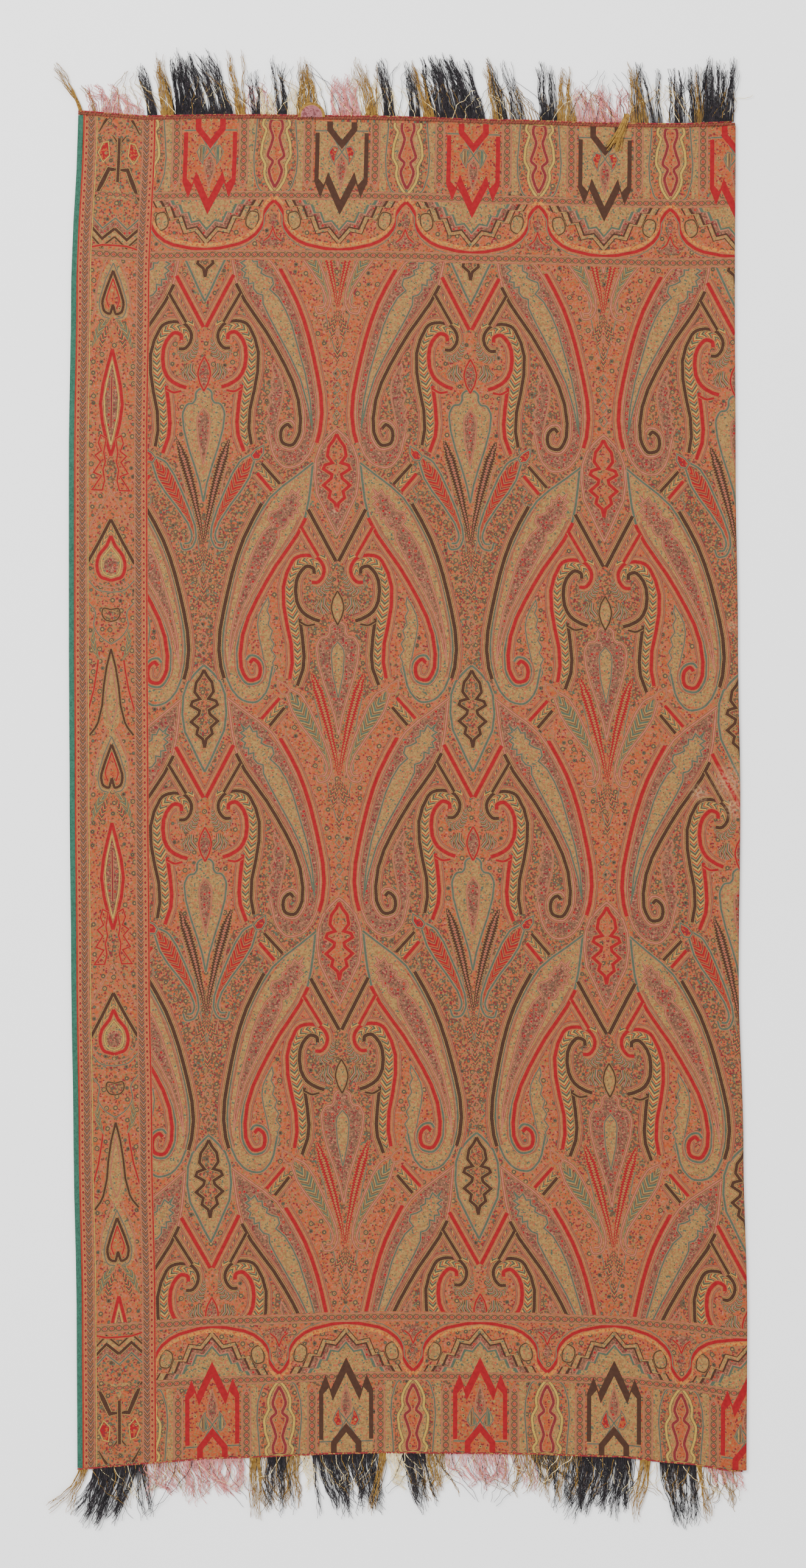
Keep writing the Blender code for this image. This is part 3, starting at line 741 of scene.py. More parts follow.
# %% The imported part's form
HALF_LENGTH = 862.0
WALL = 1.2
UPPER_TOP = 3.0
FOLD_HEIGHT = 5.0
FOLD_RISE_WIDTH = 22.0
SEAM = 0.3
UNDER_INSET = 2.5
ROLL_WIDTH = 3.4
HEADING_WIDTH = 2.0
HEADING_HEIGHT = 1.0
UPPER_HEADING_BASE = 2.1
UNDER_HEADING_BASE = 0.2
COLUMNS = 15
FOLD_CROWDING = 1.35
# Down the length: place along Y, left edge, fold.
SIDE_EDGES = (
    (-862, -419, 438), (-667, -420, 439), (-448, -424, 434), (-230, -427, 428), (-12, -429, 430),
    (207, -430, 427), (425, -430, 424), (643, -427, 423), (862, -418, 424),
)
# Across the width: place along X, foot edge, top edge.
END_EDGES = (
    (-430, -870, 865), (-390, -870, 868), (-340, -863, 860), (-220, -855, 862), (-40, -849, 860),
    (130, -850, 855), (270, -854, 851), (350, -862, 850), (430, -873, 853),
)
# Soft waves of the upper layer: centre along X and Y, reach along and across, height, turn.
WAVES = (
    (-60, 10, 420, 16, 1.3, 1), (330, -8, 90, 20, 1.2, -6), (-300, 560, 210, 60, 1.5, 68),
    (150, 640, 260, 55, 1.3, 12), (240, 250, 230, 70, 1.6, 100), (-140, 300, 220, 65, 1.2, 40),
    (-230, -330, 260, 60, 1.5, 110), (130, -380, 240, 70, 1.4, 60), (300, -640, 180, 55, 1.5, 150),
    (-120, -690, 240, 50, 1.2, 8),
)
RADIUS = FOLD_HEIGHT / 2
HALF_TURN = math.pi * RADIUS / 2
FLAT_WIDTH = FOLD_LINE - HALF_TURN


def eased(rows, column, at):
    """A table's column at these places, joined by smooth steps."""
    rows = np.array(rows, dtype=float)
    at = np.clip(at, rows[0, 0], rows[-1, 0])
    low = np.clip(np.searchsorted(rows[:, 0], at, side="right") - 1, 0, len(rows) - 2)
    share = (at - rows[low, 0]) / (rows[low + 1, 0] - rows[low, 0])
    share = share * share * (3 - 2 * share)
    return rows[low, column] * (1 - share) + rows[low + 1, column] * share


def end_line(y, column):
    """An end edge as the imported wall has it: places along X and Y, straight between."""
    left, turn = eased(SIDE_EDGES, 1, y), eased(SIDE_EDGES, 2, y) - RADIUS
    start = left + SELVEDGE + SEAM
    shares = 1 - (1 - np.arange(COLUMNS) / (COLUMNS - 1)) ** FOLD_CROWDING
    places = start + (turn - start) * shares
    return places, eased(END_EDGES, column, places)


FOOT_LINE = end_line(-HALF_LENGTH, 1)
TOP_LINE = end_line(HALF_LENGTH, 2)


def upper_face(x, y, turn):
    """The height of the upper layer's face: flat, with soft waves, and swelling to the turn."""
    swell = np.clip(1 - (turn - x) / FOLD_RISE_WIDTH, 0, 1)
    swell = swell * swell * (3 - 2 * swell)
    waves = 0.0
    for middle_x, middle_y, reach, width, height, turned in WAVES:
        angle = math.radians(turned)
        along = ((x - middle_x) * math.cos(angle) + (y - middle_y) * math.sin(angle)) / reach
        across = ((y - middle_y) * math.cos(angle) - (x - middle_x) * math.sin(angle)) / width
        waves = waves + height * np.exp(-along * along - across * across)
    return UPPER_TOP + waves * (1 - swell) + (FOLD_HEIGHT - UPPER_TOP) * swell


def folded(a, d, depth):
    """Points in space, in metres, for places on the sheet, at a depth below its outer face."""
    a, d = np.asarray(a, dtype=float), np.asarray(d, dtype=float)
    share_up = 1 - d / SHEET_LENGTH
    y = (2 * share_up - 1) * HALF_LENGTH
    left, turn = eased(SIDE_EDGES, 1, y), eased(SIDE_EDGES, 2, y) - RADIUS
    under = a > FOLD_LINE
    own = np.where(under, 2 * FOLD_LINE - a, a)
    start = left + np.where(under, UNDER_INSET, 0)
    x = start + (turn - start) * np.minimum(own / FLAT_WIDTH, 1)
    foot, top = np.interp(x, *FOOT_LINE), np.interp(x, *TOP_LINE) - ROLL_WIDTH - SEAM
    y = foot + (top - foot) * share_up
    angle = np.clip((own - FLAT_WIDTH) / HALF_TURN, 0, 1) * math.pi / 2
    angle = np.where(under, math.pi - angle, angle)
    bent = own > FLAT_WIDTH
    flat_height = np.where(under, depth, upper_face(x, y, turn) - depth)
    z = np.where(bent, RADIUS + (RADIUS - depth) * np.cos(angle), flat_height)
    x = x + np.where(bent, (RADIUS - depth) * np.sin(angle), 0)
    return np.column_stack([x, y, z]) * MM


# %% [markdown]
# ## Two closed shells
# A sheet of real cloth has a thickness, so each half of the folded sheet becomes a closed shell:
# the drawing on its outer face, a plain back of few faces 1.2 mm below it, and a rim between
# the two. The two halves meet along the line of the fold.

# %% The back of a shell, and the shell itself
BACK_STEP = 16.0


def rim_loop(faces):
    """The edges that only one triangle uses, each in that triangle's own order."""
    pairs = np.vstack([faces[:, [0, 1]], faces[:, [1, 2]], faces[:, [2, 0]]])
    names = np.sort(pairs, axis=1) @ np.array([len(flat_points), 1])
    _, first, uses = np.unique(names, return_index=True, return_counts=True)
    return pairs[first[uses == 1]]


def plain_back(rim):
    """Few triangles inside the rim. Their corners: first the rim's own points, then inner ones."""
    ring = list(dict.fromkeys(rim.ravel().tolist()))
    number = {point: i for i, point in enumerate(ring)}
    edges = [(number[i], number[j]) for i, j in rim.tolist()]
    inner = [
        (a, d)
        for a in [*np.arange(CLOTH_START + BACK_STEP, FLAT_WIDTH - 4, BACK_STEP), *FOLD_PLACES]
        for d in np.arange(BACK_STEP, SHEET_LENGTH - BACK_STEP / 2, BACK_STEP)
    ]
    points = [Vector(flat_points[i]) for i in ring] + [Vector(point) for point in inner]
    found, _, faces, origins, _, _ = geometry.delaunay_2d_cdt(points, edges, [], 1, 1e-4, True)
    order = {origin[0]: i for i, origin in enumerate(origins) if origin}
    assert all(i in order for i in range(len(ring))), "a rim point was lost"
    rim_numbers = {point: order[number[point]] for point in ring}
    return np.array([tuple(point) for point in found]), np.array(faces), rim_numbers


def new_object(name, data):
    """A new object of the scene."""
    made = bpy.data.objects.new(name, data)
    bpy.context.scene.collection.objects.link(made)
    return made


def on_half(a, mirrored):
    """A distance from the selvedge, told on the upper half or on the mirrored under half."""
    return 2 * FOLD_LINE - a if mirrored else a


def shell(name, mirrored, materials):
    """One half of the sheet as a closed mesh with its styles and its two maps."""
    front = triangles if mirrored else triangles[:, ::-1]
    back = back_faces[:, ::-1] if mirrored else back_faces
    outer = folded(on_half(flat_points[:, 0], mirrored), flat_points[:, 1], 0)
    inner = folded(on_half(back_points[:, 0], mirrored), back_points[:, 1], WALL)
    count = len(outer)
    rim = [(j, i, rim_numbers[i] + count, rim_numbers[j] + count) for i, j in rim_loop(front).tolist()]
    mesh = bpy.data.meshes.new(name)
    faces = front.tolist() + (back + count).tolist() + rim
    mesh.from_pydata(np.vstack([outer, inner]).tolist(), [], faces)
    plain = np.vstack([flat_points, back_points])
    corners = np.empty(len(mesh.loops), dtype=int)
    mesh.loops.foreach_get("vertex_index", corners)
    places = plain[corners]
    places[:, 0] = on_half(places[:, 0], mirrored)
    figure = places.copy()
    own_map = figure_map if mirrored else figure_map[:, ::-1]
    figure[: 3 * len(front)] = own_map.reshape(-1, 2)
    for title, values in (("figure", figure), ("cloth", places)):
        mesh.uv_layers.new(name=title).data.foreach_set("uv", values.astype(np.float32).ravel())
    for material in materials:
        mesh.materials.append(material)
    numbers = np.full(len(mesh.polygons), len(styles))
    numbers[: len(front)] = style_numbers[owners]
    mesh.polygons.foreach_set("material_index", numbers.astype(np.int32))
    mesh.validate()
    mesh.shade_smooth()
    mesh.set_sharp_from_angle(angle=math.radians(60))
    return new_object(name, mesh)


back_points, back_faces, rim_numbers = plain_back(rim_loop(triangles))
print("back:", len(back_faces), "triangles")

# %% [markdown]
# ## Wool materials
# Each style of the drawing is a wool finish. Every style is one number turned into colour: how
# far across a stroke, how far along a slanted barb, how far from the middle of a bead, or a
# chance value for each small speck of a ground. A stepped colour ramp does the turning, because
# a loom's yarn is one colour or another and never a blend. All styles end in the same wool:
# a slight change of tone from yarn to yarn, a twill's diagonal ribs and a rough, soft shine.

# %% Helpers for node trees
def linear(code):
    """A colour written as an sRGB hex code, as the linear values that Blender works in."""
    values = [int(code[i : i + 2], 16) / 255 for i in (1, 3, 5)]
    return [*(v / 12.92 if v <= 0.04045 else ((v + 0.055) / 1.055) ** 2.4 for v in values), 1.0]


def add(tree, kind, links=None, steps=(), **settings):
    """Adds a node with its settings, links or sets its inputs, and fills a stepped ramp."""
    node = tree.nodes.new(kind)
    for setting, value in settings.items():
        setattr(node, setting, value)
    if steps:
        node.color_ramp.interpolation = "CONSTANT"
        for share, _ in steps[2:]:
            node.color_ramp.elements.new(share)
        for element, (share, colour) in zip(node.color_ramp.elements, steps):
            element.position = share
            element.color = linear(colour)
    for place, value in (links or {}).items():
        if isinstance(value, bpy.types.NodeSocket):
            tree.links.new(value, node.inputs[place])
        else:
            node.inputs[place].default_value = value
    return node


def calc(tree, operation, *values):
    """The result of a maths node. Each value is a number or another node's output."""
    return add(tree, "ShaderNodeMath", dict(enumerate(values)), operation=operation).outputs[0]


# %% The wool that all styles share
TWILL_PITCH = 0.9
ROUGHNESS = 0.9
SPECULAR = 0.15
SHEEN = 0.04
PALE_WARP = "#B08A68"
MOST_WORN = 0.38
# Where the cloth is worn: from the selvedge, from the hem, radius.
WORN_PLACES = ((838, 838, 26), (846, 872, 18), (800, 856, 14), (846, 640, 10), (340, 505, 7))


def new_material(name):
    """An empty material with its node tree and its output."""
    material = bpy.data.materials.new(name)
    material.use_nodes = True
    material.node_tree.nodes.clear()
    return material, material.node_tree


def worn(tree, colour, place):
    """The colour, paler at the few places where the pile has worn down to the warp."""
    reach = None
    for across, down, radius in WORN_PLACES:
        links = {0: place, 1: (across, down, 0)}
        away = add(tree, "ShaderNodeVectorMath", links, operation="DISTANCE").outputs["Value"]
        links = {0: away, 1: radius, 2: radius * 0.3, 3: 0.0, 4: MOST_WORN}
        near = add(tree, "ShaderNodeMapRange", links)
        if reach is None:
            reach = near.outputs[0]
        else:
            reach = calc(tree, "MAXIMUM", reach, near.outputs[0])
    patchy = add(tree, "ShaderNodeTexNoise", {"Vector": place, "Scale": 0.3, "Detail": 2.0}).outputs[0]
    patchy = add(tree, "ShaderNodeMapRange", {0: patchy, 1: 0.4, 2: 0.6}).outputs[0]
    share = calc(tree, "MULTIPLY", reach, patchy)
    links = {0: share, 6: colour, 7: linear(PALE_WARP)}
    return add(tree, "ShaderNodeMix", links, data_type="RGBA").outputs[2]


def wool_finish(tree, colour, place, pitch=TWILL_PITCH):
    """The shared end of every wool tree: tone from yarn to yarn, twill ribs and a soft shine."""
    tone = add(tree, "ShaderNodeTexNoise", {"Vector": place, "Scale": 0.22, "Detail": 3.0})
    tone = add(tree, "ShaderNodeMapRange", {0: tone.outputs[0], 1: 0.3, 2: 0.7, 3: 0.84, 4: 1.14})
    toned = add(tree, "ShaderNodeHueSaturation", {"Value": tone.outputs[0], "Color": colour})
    turned = add(tree, "ShaderNodeMapping", {"Vector": place, "Rotation": (0, 0, math.radians(38))})
    ribs = add(tree, "ShaderNodeTexWave", {"Vector": turned.outputs[0], "Scale": 0.314 / pitch})
    bump = add(tree, "ShaderNodeBump", {"Strength": 0.25, "Distance": 0.0002, "Height": ribs.outputs[1]})
    shader = add(
        tree,
        "ShaderNodeBsdfPrincipled",
        {"Base Color": toned.outputs[0], "Roughness": ROUGHNESS, "Normal": bump.outputs[0]},
    )
    shader.inputs["Specular IOR Level"].default_value = SPECULAR
    shader.inputs["Sheen Weight"].default_value = SHEEN
    shader.inputs["Sheen Roughness"].default_value = 0.5
    shader.inputs["IOR"].default_value = 1.5
    add(tree, "ShaderNodeOutputMaterial", {"Surface": shader.outputs[0]})


# %% One number for each family of styles
def family_value(tree, family, s, t, place, pitch, slant):
    """The number that a family turns into colour. s runs along a stroke and t across it."""
    side = calc(tree, "ABSOLUTE", t)
    if family == "line":
        teeth = calc(tree, "PINGPONG", s, pitch / 2)
        return calc(tree, "MULTIPLY_ADD", teeth, slant * 2 / pitch, side)
    if family == "barb":
        leaning = calc(tree, "MULTIPLY_ADD", side, slant, s)
        turns = calc(tree, "DIVIDE", leaning, pitch)
        return calc(tree, "FRACT", turns)
    if family == "bead":
        run = calc(tree, "PINGPONG", s, pitch / 2)
        run = calc(tree, "MULTIPLY", run, 2 / pitch)
        both = add(tree, "ShaderNodeCombineXYZ", {0: run, 1: t}).outputs[0]
        length = add(tree, "ShaderNodeVectorMath", {0: both}, operation="LENGTH").outputs["Value"]
        return calc(tree, "MULTIPLY", length, 0.7)
    specks = add(tree, "ShaderNodeTexVoronoi", {"Vector": place, "Scale": 1 / pitch})
    return add(tree, "ShaderNodeSeparateColor", {0: specks.outputs["Color"]}).outputs[0]


LAST_RING_WIDTH = 0.05


def make_style(name, family, pitch, slant, steps, dots=()):
    """A wool material for one style. Steps are shares of the family's number, and colours."""
    material, tree = new_material(name)
    figure = add(tree, "ShaderNodeUVMap", uv_map="figure").outputs[0]
    place = add(tree, "ShaderNodeUVMap", uv_map="cloth").outputs[0]
    parts = add(tree, "ShaderNodeSeparateXYZ", {0: figure})
    value = family_value(tree, family, parts.outputs[0], parts.outputs[1], place, pitch, slant)
    colour = add(tree, "ShaderNodeValToRGB", {0: value}, steps).outputs[0]
    if dots:
        links = {"Vector": place, "Scale": 1 / slant, "Randomness": 0.4}
        apart = add(tree, "ShaderNodeTexVoronoi", links).outputs["Distance"]
        near = calc(tree, "LESS_THAN", apart, dots[-1][0] + LAST_RING_WIDTH)
        dot = add(tree, "ShaderNodeValToRGB", {0: apart}, dots).outputs[0]
        colour = add(tree, "ShaderNodeMix", {0: near, 6: colour, 7: dot}, data_type="RGBA").outputs[2]
    wool_finish(tree, worn(tree, colour, place), place)
    return material


# %% [markdown]
# The dyes are few: madder reds, walnut brown, ochre and gold, a grey-teal and a rose. They were
# judged, then evened out against the mean colours of some regions of the photograph. A
# style's steps put them together.

# %% The dyes and the styles
RED, MADDER, ORANGE = "#7F1218", "#642024", "#8C4020"
BROWN, UMBER, OCHRE = "#3A241A", "#503929", "#755532"
GOLD, YELLOW, SALMON = "#846539", "#967A36", "#8E492F"
AMBER = "#A2672A"
TEAL, ROSE, PLUM, DUSK = "#414B3C", "#8C5540", "#5C4031", "#714A35"

# A ground: pitch of its specks, pitch of its dots (mm), colours of the specks, of the dots.
# The others: pitch, slant or tooth depth, and colours.
RINGS = [(0, MADDER), (0.06, GOLD), (0.14, BROWN), (0.18, TEAL), (0.21, UMBER)]
FLOWERS = [(0, YELLOW), (0.07, RED), (0.22, ROSE), (0.26, PLUM)]
EYES = [(0, BROWN), (0.09, GOLD), (0.18, OCHRE)]
STYLES = {
    "tawny": (
        "ground", 2.0, 13,
        [(0, SALMON), (0.3, OCHRE), (0.55, ORANGE), (0.7, UMBER), (0.82, MADDER), (0.91, TEAL)], RINGS,
    ),
    "salmon": (
        "ground", 1.9, 13,
        [(0, SALMON), (0.38, ORANGE), (0.6, OCHRE), (0.8, MADDER), (0.88, UMBER), (0.94, ROSE)], RINGS,
    ),
    "umber": (
        "ground", 2.0, 12,
        [(0, UMBER), (0.3, OCHRE), (0.52, SALMON), (0.74, MADDER), (0.84, TEAL), (0.92, ORANGE)], RINGS,
    ),
    "gold": ("ground", 1.8, 8, [(0, GOLD), (0.5, OCHRE), (0.78, TEAL), (0.86, SALMON)], EYES),
    "dusk": (
        "ground", 1.7, 8,
        [(0, PLUM), (0.3, DUSK), (0.62, MADDER), (0.76, UMBER), (0.88, ROSE)], FLOWERS,
    ),
    "orange": ("ground", 1.9, 10, [(0, ORANGE), (0.45, SALMON), (0.7, OCHRE), (0.88, MADDER)], EYES),
    "amber": ("ground", 1.8, 10, [(0, AMBER), (0.5, ORANGE), (0.72, GOLD), (0.9, SALMON)]),
    "petal_ground": ("ground", 2.2, 9, [(0, RED), (0.5, ORANGE), (0.8, MADDER)], EYES),
    "red": ("line", 3.0, 0.10, [(0, RED), (0.68, OCHRE), (0.86, SALMON)]),
    "madder": ("line", 3.0, 0.12, [(0, MADDER), (0.64, GOLD), (0.86, SALMON)]),
    "brown": ("line", 3.0, 0.10, [(0, BROWN), (0.66, GOLD), (0.88, UMBER)]),
    "teal": ("line", 2.6, 0.12, [(0, TEAL), (0.62, ROSE), (0.88, OCHRE)]),
    "rose": ("line", 2.6, 0.12, [(0, ROSE), (0.5, MADDER), (0.8, GOLD)]),
    "yellow": ("line", 3.0, 0.12, [(0, YELLOW), (0.7, UMBER)]),
    "barbs": (
        "barb", 9.0, 8.0,
        [(0, YELLOW), (0.22, RED), (0.4, GOLD), (0.54, TEAL), (0.74, BROWN), (0.86, GOLD)],
    ),
    "ribs": ("barb", 5.0, 3.5, [(0, TEAL), (0.3, OCHRE), (0.55, BROWN), (0.74, ROSE)]),
    "flame": ("barb", 6.0, 5.0, [(0, GOLD), (0.28, RED), (0.56, TEAL), (0.74, BROWN)]),
    "petal": ("barb", 9.0, 9.0, [(0, RED), (0.4, ORANGE), (0.62, MADDER), (0.84, OCHRE)]),
    "petal_teal": ("barb", 9.0, 9.0, [(0, TEAL), (0.4, GOLD), (0.62, UMBER), (0.84, OCHRE)]),
    "echo": (
        "line", 3.0, 0.03,
        [
            (0, OCHRE), (0.48, SALMON), (0.55, GOLD), (0.64, MADDER), (0.71, SALMON), (0.8, TEAL),
            (0.88, SALMON), (0.95, MADDER),
        ],
    ),
    "loops": ("line", 3.6, 0.4, [(0, RED), (0.16, ROSE), (0.34, UMBER), (0.5, BROWN), (1.0, OCHRE)]),
    "loops_red": ("line", 3.6, 0.4, [(0, ORANGE), (0.2, GOLD), (0.38, MADDER), (0.5, RED), (1.0, OCHRE)]),
    "studs": ("bead", 9.0, 0, [(0, YELLOW), (0.1, RED), (0.3, ROSE), (0.42, UMBER), (0.7, OCHRE)]),
    "sawtooth": ("line", 8.0, 1.0, [(0, MADDER), (0.4, RED), (0.62, GOLD), (0.9, SALMON)]),
    "zigzag": (
        "barb", 9.0, 6.0,
        [(0, ROSE), (0.2, BROWN), (0.38, OCHRE), (0.55, MADDER), (0.72, TEAL), (0.86, UMBER)],
    ),
}
missing = [name for name in styles if name not in STYLES]
print("styles without a material:", missing)
cloth_materials = [make_style("wool_" + name, *STYLES[name]) for name in styles]
cloth_materials.append(
    make_style("wool_reverse", "ground", 2.0, 9, [(0, UMBER), (0.35, OCHRE), (0.6, MADDER), (0.8, SALMON)])
)
print("cloth materials:", len(cloth_materials))

# %% The two halves of the sheet
upper_cloth = shell("cloth_upper", False, cloth_materials)
under_cloth = shell("cloth_under", True, cloth_materials)
for half in (upper_cloth, under_cloth):
    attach(half, "root")
    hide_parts("shawl_cloth")
    print(half.name, "faces:", len(half.data.polygons), "materials:", len(half.data.materials))

# %% [markdown]
# ## Selvedges and hem
# The green selvedge is plain woven, and the top end is rolled over and whipped with thread. The
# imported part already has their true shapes, so they keep them and get their wool. The whipping
# repeats along a path, so Geometry Nodes lays it: one small loop of thread, over and over.

# %% Wool for the selvedges and the hem
def plain_wool(name, colour, other, scale):
    """Wool of one colour with flecks of another, placed by the object's own coordinates."""
    material, tree = new_material(name)
    place = add(tree, "ShaderNodeTexCoord").outputs["Object"]
    in_mm = add(tree, "ShaderNodeMapping", {"Vector": place, "Scale": (1000, 1000, 1000)}).outputs[0]
    flecks = add(tree, "ShaderNodeTexVoronoi", {"Vector": in_mm, "Scale": 1 / scale})
    value = add(tree, "ShaderNodeSeparateColor", {0: flecks.outputs["Color"]}).outputs[0]
    steps = [(0, colour), (0.72, other)]
    wool_finish(tree, add(tree, "ShaderNodeValToRGB", {0: value}, steps).outputs[0], in_mm)
    return material


def dress(node, material):
    """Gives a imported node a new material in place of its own."""
    for material_slot in node.material_slots:
        material_slot.material = material


green_wool = plain_wool("wool_selvedge_green", "#2D5546", "#284A3D", 1.4)
hem_wool = plain_wool("wool_hem_madder_brown", "#673126", "#4A2E1E", 1.6)
for name in ("selvedge_upper", "selvedge_under"):
    dress(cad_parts[name], green_wool)
dress(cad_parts["hem_roll"], hem_wool)

# %% A new Geometry Nodes tree, and what it makes of lines
def new_tree(name, inputs):
    """An empty tree, the names of its inputs for a modifier, and those inputs as outputs."""
    tree = bpy.data.node_groups.new(name, "GeometryNodeTree")
    tree.interface.new_socket("Geometry", in_out="INPUT", socket_type="NodeSocketGeometry")
    names = {}
    for title, kind in inputs:
        kind = "NodeSocket" + kind
        names[title] = tree.interface.new_socket(title, in_out="INPUT", socket_type=kind).identifier
    tree.interface.new_socket("Geometry", in_out="OUTPUT", socket_type="NodeSocketGeometry")
    return tree, names, add(tree, "NodeGroupInput").outputs


def laid(points, edges, group, values):
    """A plain mesh: what the tree makes of lines of mesh, whose points are in millimetres."""
    lines = bpy.data.meshes.new("lines")
    lines.from_pydata((np.array(points) * MM).tolist(), edges, [])
    holder = new_object("lines", lines)
    modifier = holder.modifiers.new("lines", "NODES")
    modifier.node_group = group
    for socket, value in values.items():
        modifier[socket] = value
    holder.update_tag()
    view = bpy.context.evaluated_depsgraph_get()
    made = bpy.data.meshes.new_from_object(holder.evaluated_get(view))
    bpy.data.objects.remove(holder)
    return made


# %% Geometry Nodes for the whipping
STITCH_PITCH = 3.6
STITCH_THICKNESS = 0.7
STITCH_REACH = 1.75
STITCH_SLANT = 0.9
STITCH_HEIGHT = 2.1
STITCH_BASE = 3.2


def whipping_tree():
    """One slanted loop of thread, laid over and over along a line."""
    tree, names, given = new_tree("Whipping", (
        ("Pitch", "Float"), ("Thickness", "Float"), ("Reach", "Float"), ("Slant", "Float"),
        ("Height", "Float"), ("Thread", "Material"),
    ))
    line = add(tree, "GeometryNodeMeshToCurve", {0: given["Geometry"]}).outputs[0]
    places = add(tree, "GeometryNodeCurveToPoints", {0: line, "Length": given["Pitch"]}, mode="LENGTH")
    minus = {}
    for title in ("Reach", "Slant"):
        minus[title] = calc(tree, "MULTIPLY", given[title], -1.0)
    start = add(tree, "ShaderNodeCombineXYZ", {0: minus["Slant"], 1: minus["Reach"]}).outputs[0]
    middle = add(tree, "ShaderNodeCombineXYZ", {2: given["Height"]}).outputs[0]
    stop = add(tree, "ShaderNodeCombineXYZ", {0: given["Slant"], 1: given["Reach"]}).outputs[0]
    links = {"Resolution": 8, "Start": start, "Middle": middle, "End": stop}
    loop = add(tree, "GeometryNodeCurveQuadraticBezier", links).outputs[0]
    half = calc(tree, "MULTIPLY", given["Thickness"], 0.5)
    profile = add(tree, "GeometryNodeCurvePrimitiveCircle", {"Resolution": 6, "Radius": half}).outputs[0]
    links = {"Curve": loop, "Profile Curve": profile, "Fill Caps": True}
    loop = add(tree, "GeometryNodeCurveToMesh", links).outputs[0]
    links = {"Points": places.outputs[0], "Instance": loop}
    loops = add(tree, "GeometryNodeInstanceOnPoints", links).outputs[0]
    loops = add(tree, "GeometryNodeRealizeInstances", {0: loops}).outputs[0]
    loops = add(tree, "GeometryNodeSetMaterial", {0: loops, "Material": given["Thread"]}).outputs[0]
    add(tree, "NodeGroupOutput", {0: loops})
    return tree, names


whipping, whipping_names = whipping_tree()
thread_wool = plain_wool("wool_whipping_thread", "#8A4A35", "#6B2A24", 1.0)

# %% The stitches along the hem
hem_line = [(float(x), float(y) - ROLL_WIDTH / 2, STITCH_BASE) for x, y in zip(*TOP_LINE)]
given = {
    "Pitch": STITCH_PITCH * MM, "Thickness": STITCH_THICKNESS * MM, "Reach": STITCH_REACH * MM,
    "Slant": STITCH_SLANT * MM, "Height": STITCH_HEIGHT * MM, "Thread": thread_wool,
}
values = {whipping_names[title]: value for title, value in given.items()}
whipped = laid(hem_line, [(i, i + 1) for i in range(COLUMNS - 1)], whipping, values)
stitches = new_object("whipping", whipped)
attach(stitches, "root")
print("whipping faces:", len(whipped.polygons))

# %% [markdown]
# ## The fringes
# A fringe is loose yarn: hundreds of strands that start along the cloth's end, in bunches of one
# colour, and lean, bend and curl as they lie. One Geometry Nodes tree lays the strands of a
# bunch along a line. Its inputs say how many there are, how far they reach and how they lean.

# %% Geometry Nodes for loose yarns
YARN_STATIONS = 18
YARN_INPUTS = (
    ("Yarns", "Int"), ("Reach", "Float"), ("First lean", "Float"), ("Last lean", "Float"),
    ("Spread", "Float"), ("Curl", "Float"), ("Gather", "Float"), ("Thickness", "Float"),
    ("Depth", "Float"), ("Seed", "Int"), ("Wool", "Material"),
)
YARNS_IN_LOCK = 7.0
FINEST_KINK = 0.003
TIP_THICKNESS = 0.00062


SEED_STEP = 31


def with_number(tree, points, title, value):
    """Points that each carry one more named number."""
    links = {0: points, "Name": title, "Value": value}
    kept = {"data_type": "FLOAT", "domain": "POINT"}
    return add(tree, "GeometryNodeStoreNamedAttribute", links, **kept).outputs[0]


